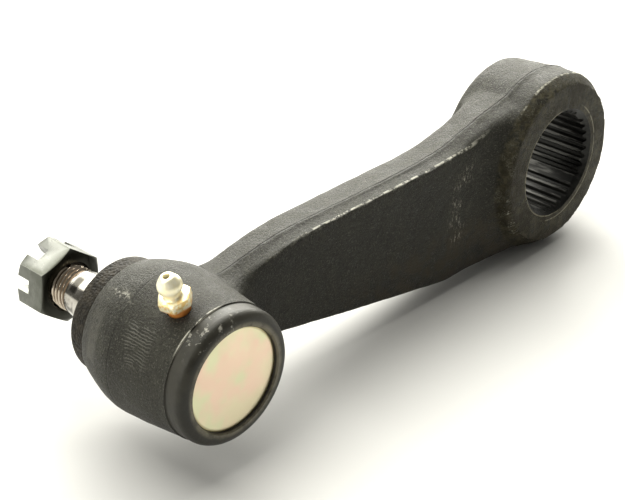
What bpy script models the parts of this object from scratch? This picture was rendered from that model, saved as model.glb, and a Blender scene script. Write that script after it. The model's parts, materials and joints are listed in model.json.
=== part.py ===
"""Forged steering arm with a greaseable ball joint at one end and a splined hub at the other.

Units are metres.  The origin is the centre of the hub's front face, on the axis of
the splined bore.  +Y runs along that axis, away from the front face, the ball joint
lies towards -X, and +Z runs across the arm's width.
"""

import math

import bmesh
import bpy
from mathutils import Matrix, Vector

# Arm as a whole
CENTRE_DISTANCE = 0.1483
BALL_OFFSET = 0.0143
JOINT_LEAN = math.radians(4.0)

# Hub, distances measured behind its front face
HUB_THICKNESS = 0.026
HUB_FACE_RADIUS = 0.0243
HUB_RADIUS = 0.0273
HUB_PARTING = 0.0105
HUB_EDGE_ROUND = 0.0020
HUB_REAR_SHARE = 0.6

# Splined bore
SPLINE_COUNT = 36
SPLINE_BLANKS = 4
SPLINE_MAJOR_RADIUS = 0.01588
SPLINE_TOOTH_HEIGHT = 0.0008
SPLINE_GROOVE_SHARE = 0.30
BORE_CHAMFER = 0.0012
BORE_CHAMFER_DEPTH = 0.0020

# Arm between the two ends, distances from the parting surface
ARM_FRONT = 0.0065
ARM_REAR = 0.0085
ARM_TOP = 0.0167
ARM_TOP_HUB_RISE = 0.0104
ARM_TOP_HUB_REACH = 0.0400
ARM_TOP_BALL_DROP = 0.0044
ARM_TOP_BALL_REACH = 0.0300
ARM_SHOULDER_INSET = 0.0025
ARM_SHOULDER_SLOPE = 0.13
ARM_SHOULDER_BLEND = 0.0004
ARM_BOTTOM_AT_BALL = 0.0040
ARM_BOTTOM_SLOPE = 0.203
ARM_BOTTOM_HUB_INSET = 0.0008
ARM_BOTTOM_BLEND = 0.0015
ARM_CORNER = 0.0034
ARM_DRAFT = math.radians(4.0)
HUB_FILLET = 0.0120
HUB_FILLET_STEP = 0.0016
BALL_FILLET = 0.0110
BALL_FILLET_HEIGHT = 0.0045
ARM_STATIONS = 26
ARM_FACE_STEPS = 4
PARTING_SHIFT = 0.0018
FLASH_HEIGHT = 0.0005
FLASH_HALF_WIDTH = 0.0008

# Ball housing, heights along the joint's axis from the ball's centre
HOUSING_BACK = 0.0178
HOUSING_RADIUS = 0.0209
HOUSING_BACK_TAPER = 0.0030
HOUSING_FRONT_TAPER = 0.0020
HOUSING_PARTING = 0.0045
HOUSING_EDGE_ROUND = 0.0010
TURNED_STEP = 0.0003
TURNED_LENGTH = 0.0047
LIP_HEIGHT = 0.0010
LIP_ROUND = 0.0028

# End cover, crimped under the housing's lip
COVER_THICKNESS = 0.0024
COVER_SHARE = 0.766
COVER_VISIBLE_SHARE = 0.680
COVER_DISH = 0.0003

# Bearing inside the housing, its radii as shares of the housing's
CAVITY_SHARE = 0.732
BEARING_SHARE = 0.608
HEAD_SHARE = 0.488
SHANK_SHARE = 0.335
RACE_HEIGHT_SHARE = 0.359
BEARING_FLAT = 0.0010
RACE_SKIRT = 0.0005
HEAD_CROWN = 0.0006
SEAT_TOP_SHARE = 0.250
SEAT_FLOOR = 0.0019
SEAT_GREASE_HOLE = 0.0020
TILT_LIMIT = math.radians(16.0)

# Preload spring
PRELOAD_WIRE_RADIUS = 0.0007
PRELOAD_SHARE = 0.383
PRELOAD_TURNS = 1.8
PRELOAD_ROOM = 0.0046

# Ball stud
SHANK_END = 0.0200
TAPER_LENGTH = 0.0165
TAPER_SMALL_RADIUS = 0.0065
TAPER_HALF_ANGLE = math.radians(3.58)
THREAD_RADIUS = 0.00635
THREAD_DEPTH = 0.0003
THREAD_RELIEF = 0.0008
STUD_END = 0.0486
STUD_CHAMFER = 0.0009
COTTER_HOLE_RADIUS = 0.0017
COTTER_HOLE_FROM_END = 0.0038

# Slotted nut
NUT_ACROSS_FLATS = 0.01905
NUT_HEIGHT = 0.0111
NUT_START = 0.0426
NUT_SLOT_WIDTH = 0.0040
NUT_SLOT_DEPTH = 0.0048
NUT_CHAMFER_ANGLE = math.radians(30.0)
NUT_TURN = math.radians(-24.0)

# Dust seal
SEAL_LEDGE = 0.0017
SEAL_HEIGHT = 0.0062
SEAL_WALL = 0.0024
SEAL_EDGE_ROUND = 0.0008

# Grease fitting, heights measured out from the housing's surface
FITTING_HEIGHT_ON_AXIS = -0.0080
FITTING_AZIMUTH = math.radians(110.0)
FITTING_THREAD_RADIUS = 0.0030
FITTING_THREAD_LENGTH = 0.0036
FITTING_HEX_ACROSS_FLATS = 0.00794
FITTING_HEX_HEIGHT = 0.0030
FITTING_HEX_START = 0.0017
FITTING_WAIST_RADIUS = 0.0023
FITTING_COLLAR_RADIUS = 0.00325
FITTING_COLLAR_START = 0.0067
FITTING_COLLAR_HEIGHT = 0.0017
FITTING_TOP_RADIUS = 0.0019
FITTING_TOP = 0.0112
FITTING_BORE_RADIUS = 0.0014
FITTING_INLET_RADIUS = 0.0008
FITTING_INLET_HEIGHT = 0.0012
FITTING_ORIFICE_RADIUS = 0.00085
FITTING_ORIFICE_LENGTH = 0.0014
CHECK_BALL_RADIUS = 0.00115
CHECK_SPRING_RADIUS = 0.00085
CHECK_SPRING_WIRE_RADIUS = 0.00015
CHECK_SPRING_TURNS = 5

# Clearances and fineness
GAP = 0.0003
SMALL_GAP = 0.0001
ROUND_STEPS = 64
PIECE_STEPS = 36
INNER_STEPS = 24
MERGE_DISTANCE = 0.00001
HUB_SEAM = math.radians(1.3)
CHAMFER_SEAM = math.radians(3.1)
CAVITY_SEAM = math.radians(2.3)

# Derived sizes
HOUSING_BACK_RADIUS = HOUSING_RADIUS - HOUSING_BACK_TAPER
HOUSING_FRONT_RADIUS = HOUSING_RADIUS - HOUSING_FRONT_TAPER
CAVITY_RADIUS = HOUSING_RADIUS * CAVITY_SHARE
COVER_RADIUS = HOUSING_RADIUS * COVER_SHARE
COVER_VISIBLE_RADIUS = HOUSING_RADIUS * COVER_VISIBLE_SHARE
BEARING_RADIUS = HOUSING_RADIUS * BEARING_SHARE
HEAD_RADIUS = HOUSING_RADIUS * HEAD_SHARE
HEAD_SPHERE_RADIUS = HEAD_RADIUS + HEAD_CROWN
SHANK_RADIUS = HOUSING_RADIUS * SHANK_SHARE
RACE_HEIGHT = HOUSING_RADIUS * RACE_HEIGHT_SHARE
SEAT_TOP = HOUSING_RADIUS * SEAT_TOP_SHARE
SEAT_BOTTOM = HEAD_SPHERE_RADIUS + GAP + SEAT_FLOOR
PRELOAD_RADIUS = HOUSING_RADIUS * PRELOAD_SHARE
SEAL_RADIUS = HOUSING_BACK_RADIUS - SEAL_LEDGE
COVER_FACE = -(SEAT_BOTTOM + PRELOAD_ROOM + COVER_THICKNESS)
COVER_BACK = COVER_FACE + COVER_THICKNESS
HOUSING_FRONT = COVER_FACE - GAP - LIP_HEIGHT
SPLINE_MINOR_RADIUS = SPLINE_MAJOR_RADIUS - SPLINE_TOOTH_HEIGHT
RACE_SPHERE_RADIUS = BEARING_RADIUS + GAP
THROAT_RADIUS = math.sqrt(RACE_SPHERE_RADIUS ** 2 - RACE_HEIGHT ** 2)
THROAT_MARGIN = math.radians(2.0)
THREAD_ROOT = THREAD_RADIUS - THREAD_DEPTH
NUT_BORE_RADIUS = THREAD_ROOT + GAP
TAPER_START = SHANK_END + (HOUSING_BACK + SEAL_HEIGHT - SHANK_END) * 0.5
TAPER_LARGE_RADIUS = TAPER_SMALL_RADIUS + TAPER_LENGTH * math.tan(TAPER_HALF_ANGLE)
THREAD_START = TAPER_START + TAPER_LENGTH

COLOURS = {
    "forged": (0.075, 0.073, 0.062, 1.0),
    "cover_zinc": (0.72, 0.66, 0.47, 1.0),
    "fitting_zinc": (0.70, 0.52, 0.20, 1.0),
    "nut_zinc": (0.55, 0.56, 0.54, 1.0),
    "bright_steel": (0.62, 0.60, 0.57, 1.0),
    "bearing_steel": (0.45, 0.45, 0.46, 1.0),
    "spring_steel": (0.30, 0.31, 0.33, 1.0),
    "black_rubber": (0.022, 0.020, 0.018, 1.0),
}


def clear_scene():
    for obj in list(bpy.data.objects):
        bpy.data.objects.remove(obj, do_unlink=True)


def make_collection(name):
    collection = bpy.data.collections.new(name)
    bpy.context.scene.collection.children.link(collection)
    return collection


clear_scene()
PARTS = make_collection("pitman_arm")
CUTTERS = make_collection("cutters")


def material(name, roughness, metallic):
    made = bpy.data.materials.new(name)
    made.use_nodes = True
    shader = made.node_tree.nodes["Principled BSDF"]
    shader.inputs["Base Color"].default_value = COLOURS[name]
    shader.inputs["Roughness"].default_value = roughness
    shader.inputs["Metallic"].default_value = metallic
    made.diffuse_color = COLOURS[name]
    return made


MATERIALS = {
    "forged": material("forged", 0.55, 0.6),
    "cover_zinc": material("cover_zinc", 0.35, 0.8),
    "fitting_zinc": material("fitting_zinc", 0.3, 0.9),
    "nut_zinc": material("nut_zinc", 0.35, 0.9),
    "bright_steel": material("bright_steel", 0.2, 1.0),
    "bearing_steel": material("bearing_steel", 0.25, 1.0),
    "spring_steel": material("spring_steel", 0.4, 1.0),
    "black_rubber": material("black_rubber", 0.85, 0.0),
}


def add_object(name, mesh, collection, parent=None, material_name=None):
    obj = bpy.data.objects.new(name, mesh)
    collection.objects.link(obj)
    obj.parent = parent
    if material_name:
        mesh.materials.append(MATERIALS[material_name])
    if collection is CUTTERS:
        obj.hide_render = True
        obj.display_type = "WIRE"
    return obj


def add_empty(name, location, rotation, parent=None):
    empty = bpy.data.objects.new(name, None)
    PARTS.objects.link(empty)
    empty.parent = parent
    empty.location = location
    empty.rotation_mode = "QUATERNION"
    empty.rotation_quaternion = rotation
    empty.empty_display_size = 0.01
    return empty


def shade(obj):
    obj.data.shade_smooth()
    obj.data.set_sharp_from_angle(angle=math.radians(32))


def arc(centre_r, centre_z, radius, start, end, steps):
    """Points of an arc in a profile's plane; angles in degrees from the +X direction."""
    points = []
    for index in range(steps + 1):
        angle = math.radians(start + (end - start) * index / steps)
        points.append((centre_r + radius * math.cos(angle), centre_z + radius * math.sin(angle)))
    return points


def turned(name, profile, steps, collection, parent=None, material_name=None, ring=False, seam=0.0):
    """A Screw-modifier solid about the parent's Z axis; the profile runs top to bottom outside."""
    mesh = bpy.data.meshes.new(name)
    verts = [(radius, 0.0, height) for radius, height in profile]
    edges = [(index, index + 1) for index in range(len(verts) - 1)]
    if ring:
        edges.append((len(verts) - 1, 0))
    mesh.from_pydata(verts, edges, [])
    obj = add_object(name, mesh, collection, parent, material_name)
    obj.rotation_euler.z = seam
    screw = obj.modifiers.new("turn", "SCREW")
    screw.axis = "Z"
    screw.angle = math.tau
    screw.steps = steps
    screw.render_steps = steps
    screw.use_merge_vertices = True
    screw.merge_threshold = MERGE_DISTANCE
    screw.use_smooth_shade = True
    return obj


def extruded(name, outline, bottom, top, collection, parent=None, material_name=None):
    """A prism over a closed outline in the parent's XY plane."""
    mesh = bpy.data.meshes.new(name)
    shape = bmesh.new()
    verts = [shape.verts.new((x, y, bottom)) for x, y in outline]
    face = shape.faces.new(verts)
    grown = bmesh.ops.extrude_face_region(shape, geom=[face])
    moved = [item for item in grown["geom"] if isinstance(item, bmesh.types.BMVert)]
    bmesh.ops.translate(shape, verts=moved, vec=(0.0, 0.0, top - bottom))
    bmesh.ops.recalc_face_normals(shape, faces=shape.faces)
    shape.to_mesh(mesh)
    shape.free()
    return add_object(name, mesh, collection, parent, material_name)


def cut(obj, other, operation="DIFFERENCE", solver="EXACT"):
    boolean = obj.modifiers.new(other.name, "BOOLEAN")
    boolean.operation = operation
    boolean.object = other
    boolean.solver = solver


def settle(obj):
    """Turns an object's modifiers into its mesh, shaded smooth between sharp edges."""
    bpy.context.view_layer.update()
    evaluated = obj.evaluated_get(bpy.context.evaluated_depsgraph_get())
    mesh = bpy.data.meshes.new_from_object(evaluated)
    obj.modifiers.clear()
    obj.data = mesh
    shade(obj)


def coil(name, radius, wire_radius, bottom, top, turns, per_turn, parent, material_name):
    """A spring as a bevelled poly spline, made a mesh with its caps welded."""
    curve = bpy.data.curves.new(name, "CURVE")
    curve.dimensions = "3D"
    curve.bevel_depth = wire_radius
    curve.bevel_resolution = 1
    curve.use_fill_caps = True
    spline = curve.splines.new("POLY")
    count = int(turns * per_turn) + 1
    spline.points.add(count - 1)
    rise = top - bottom - 2 * wire_radius
    for index, point in enumerate(spline.points):
        share = index / (count - 1)
        angle = math.tau * turns * share
        height = bottom + wire_radius + rise * share
        point.co = (radius * math.cos(angle), radius * math.sin(angle), height, 1.0)
    guide = add_object(name + "_path", curve, CUTTERS, parent)
    bpy.context.view_layer.update()
    mesh = bpy.data.meshes.new_from_object(guide.evaluated_get(bpy.context.evaluated_depsgraph_get()))
    shape = bmesh.new()
    shape.from_mesh(mesh)
    bmesh.ops.remove_doubles(shape, verts=shape.verts, dist=MERGE_DISTANCE * 0.1)
    bmesh.ops.recalc_face_normals(shape, faces=shape.faces)
    shape.to_mesh(mesh)
    shape.free()
    bpy.data.objects.remove(guide, do_unlink=True)
    mesh.materials.clear()
    obj = add_object(name, mesh, PARTS, parent, material_name)
    shade(obj)
    return obj


# Frames: the bore looks along +Y, and the joint's axis leans towards the hub.
# In the joint's frame +Z runs out along the stud and +X towards the hub.
BORE_AXIS = Vector((0.0, 1.0, 0.0))
JOINT_AXIS = Vector((math.sin(JOINT_LEAN), math.cos(JOINT_LEAN), 0.0))
JOINT_SIDE = Vector((math.cos(JOINT_LEAN), -math.sin(JOINT_LEAN), 0.0))
BALL_CENTRE = Vector((-CENTRE_DISTANCE, BALL_OFFSET, 0.0))


def frame_rotation(side, axis):
    columns = Matrix((side, axis.cross(side), axis)).transposed()
    return columns.to_quaternion()


hub_frame = add_empty("hub_axis", (0, 0, 0), frame_rotation(Vector((1, 0, 0)), BORE_AXIS))
joint_frame = add_empty("ball_joint_axis", BALL_CENTRE, frame_rotation(JOINT_SIDE, JOINT_AXIS))


def middle_height(x):
    """Y of the arm's middle, straight from the hub's parting line to the housing's."""
    housing_y = BALL_OFFSET + HOUSING_PARTING * math.cos(JOINT_LEAN)
    return HUB_PARTING + (housing_y - HUB_PARTING) * (-x / CENTRE_DISTANCE)


def parting_height(x):
    """Y of the flash line, which bows towards the front between the two ends."""
    return middle_height(x) - PARTING_SHIFT * math.sin(math.pi * x / CENTRE_DISTANCE) ** 2


def lower_of(first, second, blend):
    """The lower of two heights, softened where they are about equal."""
    return (first + second - math.hypot(first - second, 2 * blend)) / 2


def flare(distance, reach):
    """Concave fillet: 0 beyond reach, rising as a quarter ellipse to 1 at distance 0."""
    share = 1.0 - min(max(distance / reach, 0.0), 1.0)
    return 1.0 - math.sqrt(1.0 - share * share)


def swell(distance, reach):
    """Slow curve: 0 beyond reach, rising with the square of the way in to 1 at distance 0."""
    share = 1.0 - min(max(distance / reach, 0.0), 1.0)
    return share * share


def arm_top(x):
    """Level, dropping to the housing and rising to a shoulder beside the hub."""
    hub_part = swell(-x - HUB_RADIUS * 0.5, ARM_TOP_HUB_REACH)
    ball_part = swell(CENTRE_DISTANCE + x - HOUSING_RADIUS, ARM_TOP_BALL_REACH)
    height = ARM_TOP + ARM_TOP_HUB_RISE * hub_part - ARM_TOP_BALL_DROP * ball_part
    shoulder = HUB_RADIUS - ARM_SHOULDER_INSET + ARM_SHOULDER_SLOPE * max(x, -ARM_TOP_HUB_REACH)
    return lower_of(height, shoulder, ARM_SHOULDER_BLEND)


def arm_bottom(x):
    """Straight slope that softens into the hub's lowest level."""
    slope = ARM_BOTTOM_AT_BALL + ARM_BOTTOM_SLOPE * (CENTRE_DISTANCE + x)
    return lower_of(slope, HUB_RADIUS - ARM_BOTTOM_HUB_INSET, ARM_BOTTOM_BLEND)


def thicken(point, middle):
    """Moves a section's point away from the arm's middle, for the fillets round both ends."""
    offset = point.y - middle
    hub_distance = math.hypot(point.x, point.z) - HUB_RADIUS * 0.93
    ball_distance = math.hypot(CENTRE_DISTANCE + point.x, point.z) - HOUSING_RADIUS * 0.92
    if offset < 0:
        thickness = ARM_FRONT
        to_hub_face = middle - ARM_FRONT - HUB_FILLET_STEP
    else:
        thickness = ARM_REAR
        to_hub_face = HUB_THICKNESS - HUB_FILLET_STEP - middle - ARM_REAR
    growth = to_hub_face * flare(hub_distance, HUB_FILLET) + BALL_FILLET_HEIGHT * flare(ball_distance, BALL_FILLET)
    point.y = middle + offset * (1.0 + growth / thickness)


def arm_section(x):
    """Closed ring of points across the arm at x, with rounded corners and a flash ridge."""
    middle = middle_height(x)
    parting = parting_height(x)
    front = middle - ARM_FRONT
    rear = middle + ARM_REAR
    top = arm_top(x)
    bottom = -arm_bottom(x)
    tangent = math.tan(ARM_DRAFT)
    points = []

    def corner(y, z, start):
        inward_y = ARM_CORNER if y < middle else -ARM_CORNER
        inward_z = -ARM_CORNER if z > 0 else ARM_CORNER
        for py, pz in arc(y + inward_y, z + inward_z, ARM_CORNER, start, start - 90, 5):
            points.append(Vector((x, py, pz)))

    def ridge(edge, sign):
        points.append(Vector((x, parting - sign * FLASH_HALF_WIDTH, edge)))
        points.append(Vector((x, parting, edge + sign * FLASH_HEIGHT)))
        points.append(Vector((x, parting + sign * FLASH_HALF_WIDTH, edge)))

    def face(y, from_z, to_z):
        for step in range(1, ARM_FACE_STEPS):
            points.append(Vector((x, y, from_z + (to_z - from_z) * step / ARM_FACE_STEPS)))

    front_top = top - ARM_FRONT * tangent
    front_bottom = bottom + ARM_FRONT * tangent
    rear_top = top - ARM_REAR * tangent
    rear_bottom = bottom + ARM_REAR * tangent
    corner(front, front_top, 180)
    ridge(top, 1)
    corner(rear, rear_top, 90)
    face(rear, rear_top - ARM_CORNER, rear_bottom + ARM_CORNER)
    corner(rear, rear_bottom, 0)
    ridge(bottom, -1)
    corner(front, front_bottom, 270)
    face(front, front_bottom + ARM_CORNER, front_top - ARM_CORNER)
    for point in points:
        thicken(point, middle)
    return points


def arm_body():
    """Loft between the sections, from inside the housing to inside the hub."""
    start = -CENTRE_DISTANCE + CAVITY_RADIUS * 0.6
    end = -HUB_RADIUS * 0.08
    mesh = bpy.data.meshes.new("arm_forging")
    shape = bmesh.new()
    rings = []
    for station in range(ARM_STATIONS + 1):
        share = station / ARM_STATIONS
        eased = share - math.sin(math.tau * share) / (math.tau * 1.6)
        ring = [shape.verts.new(point) for point in arm_section(start + (end - start) * eased)]
        rings.append(ring)
    for near, far in zip(rings, rings[1:]):
        for index in range(len(near)):
            following = (index + 1) % len(near)
            shape.faces.new((near[index], near[following], far[following], far[index]))
    shape.faces.new(rings[0])
    shape.faces.new(rings[-1])
    bmesh.ops.triangulate(shape, faces=shape.faces)
    bmesh.ops.recalc_face_normals(shape, faces=shape.faces)
    shape.to_mesh(mesh)
    shape.free()
    return add_object("arm_forging", mesh, PARTS, None, "forged")


def hub_profile():
    """Outer shape of the hub, from its rear face to its front face."""
    rear_edge = HUB_RADIUS - HUB_REAR_SHARE * (HUB_RADIUS - HUB_FACE_RADIUS)
    points = [(0.0, HUB_THICKNESS)]
    points += arc(rear_edge - HUB_EDGE_ROUND, HUB_THICKNESS - HUB_EDGE_ROUND, HUB_EDGE_ROUND, 90, 10, 4)
    points.append((HUB_RADIUS - FLASH_HEIGHT, HUB_PARTING + FLASH_HALF_WIDTH))
    points.append((HUB_RADIUS, HUB_PARTING))
    points.append((HUB_RADIUS - FLASH_HEIGHT, HUB_PARTING - FLASH_HALF_WIDTH))
    points += arc(HUB_FACE_RADIUS, HUB_EDGE_ROUND, HUB_EDGE_ROUND, -8, -90, 5)
    points.append((0.0, 0.0))
    return points


def spline_outline():
    """Cutter outline of the serrated bore; blank places keep the tooth land unbroken."""
    pitch = math.tau / SPLINE_COUNT
    groove = pitch * SPLINE_GROOVE_SHARE * 0.5
    flank = pitch * 0.22
    every = SPLINE_COUNT // SPLINE_BLANKS
    points = []
    for tooth in range(SPLINE_COUNT):
        middle = pitch * (tooth + 0.5)
        blank = tooth % every == every // 2
        radius = SPLINE_MINOR_RADIUS if blank else SPLINE_MAJOR_RADIUS
        corners = (
            (-groove - flank, SPLINE_MINOR_RADIUS),
            (-groove, radius),
            (groove, radius),
            (groove + flank, SPLINE_MINOR_RADIUS),
        )
        for offset, distance in corners:
            points.append((distance * math.cos(middle + offset), distance * math.sin(middle + offset)))
    return points


def bore_chamfer(name, face, inward):
    """Cone that breaks the bore's edge at one face of the hub; inward is +1 or -1 along the axis."""
    wide = SPLINE_MAJOR_RADIUS + BORE_CHAMFER
    narrow = SPLINE_MINOR_RADIUS - BORE_CHAMFER * 0.5
    outside = face - inward * BORE_CHAMFER_DEPTH
    inside = face + inward * BORE_CHAMFER_DEPTH * 1.4
    if inward > 0:
        profile = [(0.0, inside), (narrow, inside), (wide, face), (wide, outside), (0.0, outside)]
    else:
        profile = [(0.0, outside), (wide, outside), (wide, face), (narrow, inside), (0.0, inside)]
    return turned(name, profile, ROUND_STEPS, CUTTERS, hub_frame, seam=CHAMFER_SEAM)


def housing_profile():
    """Outer shape of the ball housing, from its back to the crimped lip."""
    turned_top = COVER_FACE + TURNED_LENGTH
    step_radius = HOUSING_FRONT_RADIUS - TURNED_STEP
    points = [(0.0, HOUSING_BACK)]
    points += arc(
        HOUSING_BACK_RADIUS - HOUSING_EDGE_ROUND, HOUSING_BACK - HOUSING_EDGE_ROUND, HOUSING_EDGE_ROUND, 90, 20, 3
    )
    back = HOUSING_BACK - HOUSING_EDGE_ROUND
    for share in (0.3, 0.6, 0.85):
        radius = HOUSING_BACK_RADIUS + (HOUSING_RADIUS - HOUSING_BACK_RADIUS) * math.sin(share * math.pi / 2)
        points.append((radius, back + (HOUSING_PARTING - back) * share))
    points.append((HOUSING_RADIUS, HOUSING_PARTING))
    for share in (0.35, 0.7):
        radius = HOUSING_RADIUS + (HOUSING_FRONT_RADIUS - HOUSING_RADIUS) * share ** 1.25
        points.append((radius, HOUSING_PARTING + (turned_top - HOUSING_PARTING) * share))
    points.append((HOUSING_FRONT_RADIUS, turned_top + TURNED_STEP))
    points.append((step_radius, turned_top))
    points += arc(step_radius - LIP_ROUND, HOUSING_FRONT + LIP_ROUND, LIP_ROUND, 0, -90, 5)
    points.append((0.0, HOUSING_FRONT))
    return points


def cavity_profile():
    """Everything machined out of the housing, from the stud's throat to the lip's mouth."""
    slope = math.tan(TILT_LIMIT + THROAT_MARGIN)
    above = HOUSING_BACK + GAP
    throat_back = THROAT_RADIUS + (above - RACE_HEIGHT) * slope
    ledge = RACE_HEIGHT + GAP
    return [
        (0.0, above),
        (throat_back, above),
        (THROAT_RADIUS + GAP * slope, ledge),
        (CAVITY_RADIUS, ledge),
        (CAVITY_RADIUS, COVER_BACK + GAP),
        (COVER_RADIUS + GAP, COVER_BACK + GAP),
        (COVER_RADIUS + GAP, COVER_FACE - GAP),
        (COVER_VISIBLE_RADIUS, COVER_FACE - GAP),
        (COVER_VISIBLE_RADIUS + LIP_HEIGHT * 0.6, HOUSING_FRONT - GAP),
        (0.0, HOUSING_FRONT - GAP),
    ]


def fitting_frame():
    """Empty whose +Z runs out through the grease fitting, on the housing's surface."""
    direction = Vector((math.cos(FITTING_AZIMUTH), -math.sin(FITTING_AZIMUTH), 0.0))
    share = (HOUSING_PARTING - FITTING_HEIGHT_ON_AXIS) / (HOUSING_PARTING - COVER_FACE - TURNED_LENGTH)
    seat = HOUSING_RADIUS + (HOUSING_FRONT_RADIUS - HOUSING_RADIUS) * share ** 1.25
    location = direction * seat + Vector((0.0, 0.0, FITTING_HEIGHT_ON_AXIS))
    return add_empty("grease_fitting_axis", location, frame_rotation(Vector((0, 0, 1)), direction), joint_frame)


grease_frame = fitting_frame()


def build_forging():
    forging = arm_body()
    hub = turned("hub_blank", hub_profile(), ROUND_STEPS, CUTTERS, hub_frame, seam=HUB_SEAM)
    housing = turned("housing_blank", housing_profile(), ROUND_STEPS, CUTTERS, joint_frame, seam=HUB_SEAM)
    cavity = turned("housing_cavity", cavity_profile(), ROUND_STEPS, CUTTERS, joint_frame, seam=CAVITY_SEAM)
    bore = extruded("spline_cutter", spline_outline(), -0.01, HUB_THICKNESS + 0.01, CUTTERS, hub_frame)
    front = bore_chamfer("front_chamfer", 0.0, 1)
    rear = bore_chamfer("rear_chamfer", HUB_THICKNESS, -1)
    hole_radius = FITTING_THREAD_RADIUS + GAP
    hole = turned(
        "fitting_hole",
        [(0.0, 0.005), (hole_radius, 0.005), (hole_radius, -0.0065), (0.0, -0.0065)],
        INNER_STEPS,
        CUTTERS,
        grease_frame,
    )
    for blank in (hub, housing):
        cut(forging, blank, "UNION", "MANIFOLD")
    for cutter in (cavity, bore, front, rear, hole):
        cut(forging, cutter, "DIFFERENCE", "MANIFOLD")
    settle(forging)
    return forging


def build_end_cover():
    """Stamped plate with a shallow dish inside its rim and a rounded edge."""
    edge = 0.0004
    profile = [(0.0, COVER_BACK - COVER_DISH), (COVER_VISIBLE_RADIUS * 0.75, COVER_BACK - COVER_DISH)]
    profile.append((COVER_VISIBLE_RADIUS * 0.85, COVER_BACK))
    profile += arc(COVER_RADIUS - edge, COVER_BACK - edge, edge, 90, 0, 2)
    profile += arc(COVER_RADIUS - edge, COVER_FACE + edge, edge, 0, -90, 2)
    profile += [(COVER_VISIBLE_RADIUS * 0.93, COVER_FACE)]
    profile += [(COVER_VISIBLE_RADIUS * 0.90, COVER_FACE + COVER_DISH * 0.5), (0.0, COVER_FACE + COVER_DISH * 0.5)]
    cover = turned("end_cover", profile, PIECE_STEPS, PARTS, joint_frame, "cover_zinc")
    settle(cover)


def build_race():
    """Hardened ring whose inside is the spherical seat of the half ball."""
    outer = CAVITY_RADIUS - GAP
    rise = math.degrees(math.asin(RACE_HEIGHT / RACE_SPHERE_RADIUS))
    drop = math.degrees(math.asin(-RACE_SKIRT / RACE_SPHERE_RADIUS))
    profile = [(outer, RACE_HEIGHT), (outer, -RACE_SKIRT)]
    profile += arc(0.0, 0.0, RACE_SPHERE_RADIUS, drop, rise, 8)
    race = turned("upper_race", profile, INNER_STEPS, PARTS, joint_frame, "bearing_steel", ring=True)
    settle(race)


def build_half_ball():
    """Half ball that tilts in the race, and in which the stud's shank turns."""
    bore = SHANK_RADIUS + GAP
    top = math.degrees(math.acos(bore / BEARING_RADIUS))
    bottom = math.degrees(math.asin(-BEARING_FLAT / BEARING_RADIUS))
    profile = arc(0.0, 0.0, BEARING_RADIUS, top - 1.5, bottom, 12)
    profile += [(bore, -BEARING_FLAT), (bore, BEARING_RADIUS * math.sin(math.radians(top - 1.5)))]
    half_ball = turned("half_ball", profile, INNER_STEPS, PARTS, joint_frame, "bearing_steel", ring=True)
    settle(half_ball)


def build_lower_seat():
    """Spring-loaded cup under the stud's head, with a grease hole in its middle."""
    outer = CAVITY_RADIUS - GAP
    inner = HEAD_SPHERE_RADIUS + GAP
    start = math.degrees(math.asin(-SEAT_TOP / inner))
    end = -math.degrees(math.acos(SEAT_GREASE_HOLE / inner))
    profile = arc(0.0, 0.0, inner, end, start, 8)
    profile += [(outer - 0.0006, -SEAT_TOP), (outer, -SEAT_TOP - 0.0006), (outer, -SEAT_BOTTOM)]
    profile += [(SEAT_GREASE_HOLE, -SEAT_BOTTOM)]
    seat = turned("lower_seat", profile, INNER_STEPS, PARTS, joint_frame, "bearing_steel", ring=True)
    settle(seat)


def build_preload_spring():
    coil(
        "preload_spring",
        PRELOAD_RADIUS,
        PRELOAD_WIRE_RADIUS,
        COVER_BACK + SMALL_GAP,
        -SEAT_BOTTOM - SMALL_GAP,
        PRELOAD_TURNS,
        20,
        joint_frame,
        "spring_steel",
    )


def build_stud():
    """Headed stud: thread, taper, shank and the head whose underside is part of a sphere."""
    head_top = -BEARING_FLAT - GAP
    head_edge = -math.sqrt(HEAD_SPHERE_RADIUS ** 2 - HEAD_RADIUS ** 2)
    head_angle = math.degrees(math.asin(head_edge / HEAD_SPHERE_RADIUS))
    profile = [
        (0.0, STUD_END),
        (THREAD_ROOT - STUD_CHAMFER, STUD_END),
        (THREAD_ROOT, STUD_END - STUD_CHAMFER),
        (THREAD_ROOT, THREAD_START + THREAD_RELIEF),
        (TAPER_SMALL_RADIUS, THREAD_START),
        (TAPER_LARGE_RADIUS, TAPER_START),
        (SHANK_RADIUS, TAPER_START - (TAPER_LARGE_RADIUS - SHANK_RADIUS)),
        (SHANK_RADIUS, head_top),
        (HEAD_RADIUS - 0.0003, head_top),
        (HEAD_RADIUS, head_top - 0.0003),
    ]
    profile += arc(0.0, 0.0, HEAD_SPHERE_RADIUS, head_angle, -90, 8)
    profile[-1] = (0.0, -HEAD_SPHERE_RADIUS)
    stud = turned("ball_stud", profile, PIECE_STEPS, PARTS, joint_frame, "bright_steel")
    reach = THREAD_RADIUS + 0.003
    hole_frame = add_empty(
        "cotter_hole_axis",
        (0.0, 0.0, STUD_END - COTTER_HOLE_FROM_END),
        frame_rotation(Vector((0, 0, 1)), Vector((0, 1, 0))),
        joint_frame,
    )
    profile = [(0.0, reach), (COTTER_HOLE_RADIUS, reach), (COTTER_HOLE_RADIUS, -reach), (0.0, -reach)]
    hole = turned("cotter_hole", profile, INNER_STEPS, CUTTERS, hole_frame)
    cut(stud, hole)
    settle(stud)


def hexagon(across_flats, turn):
    radius = across_flats / math.sqrt(3)
    return [
        (radius * math.cos(turn + index * math.pi / 3), radius * math.sin(turn + index * math.pi / 3))
        for index in range(6)
    ]


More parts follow.
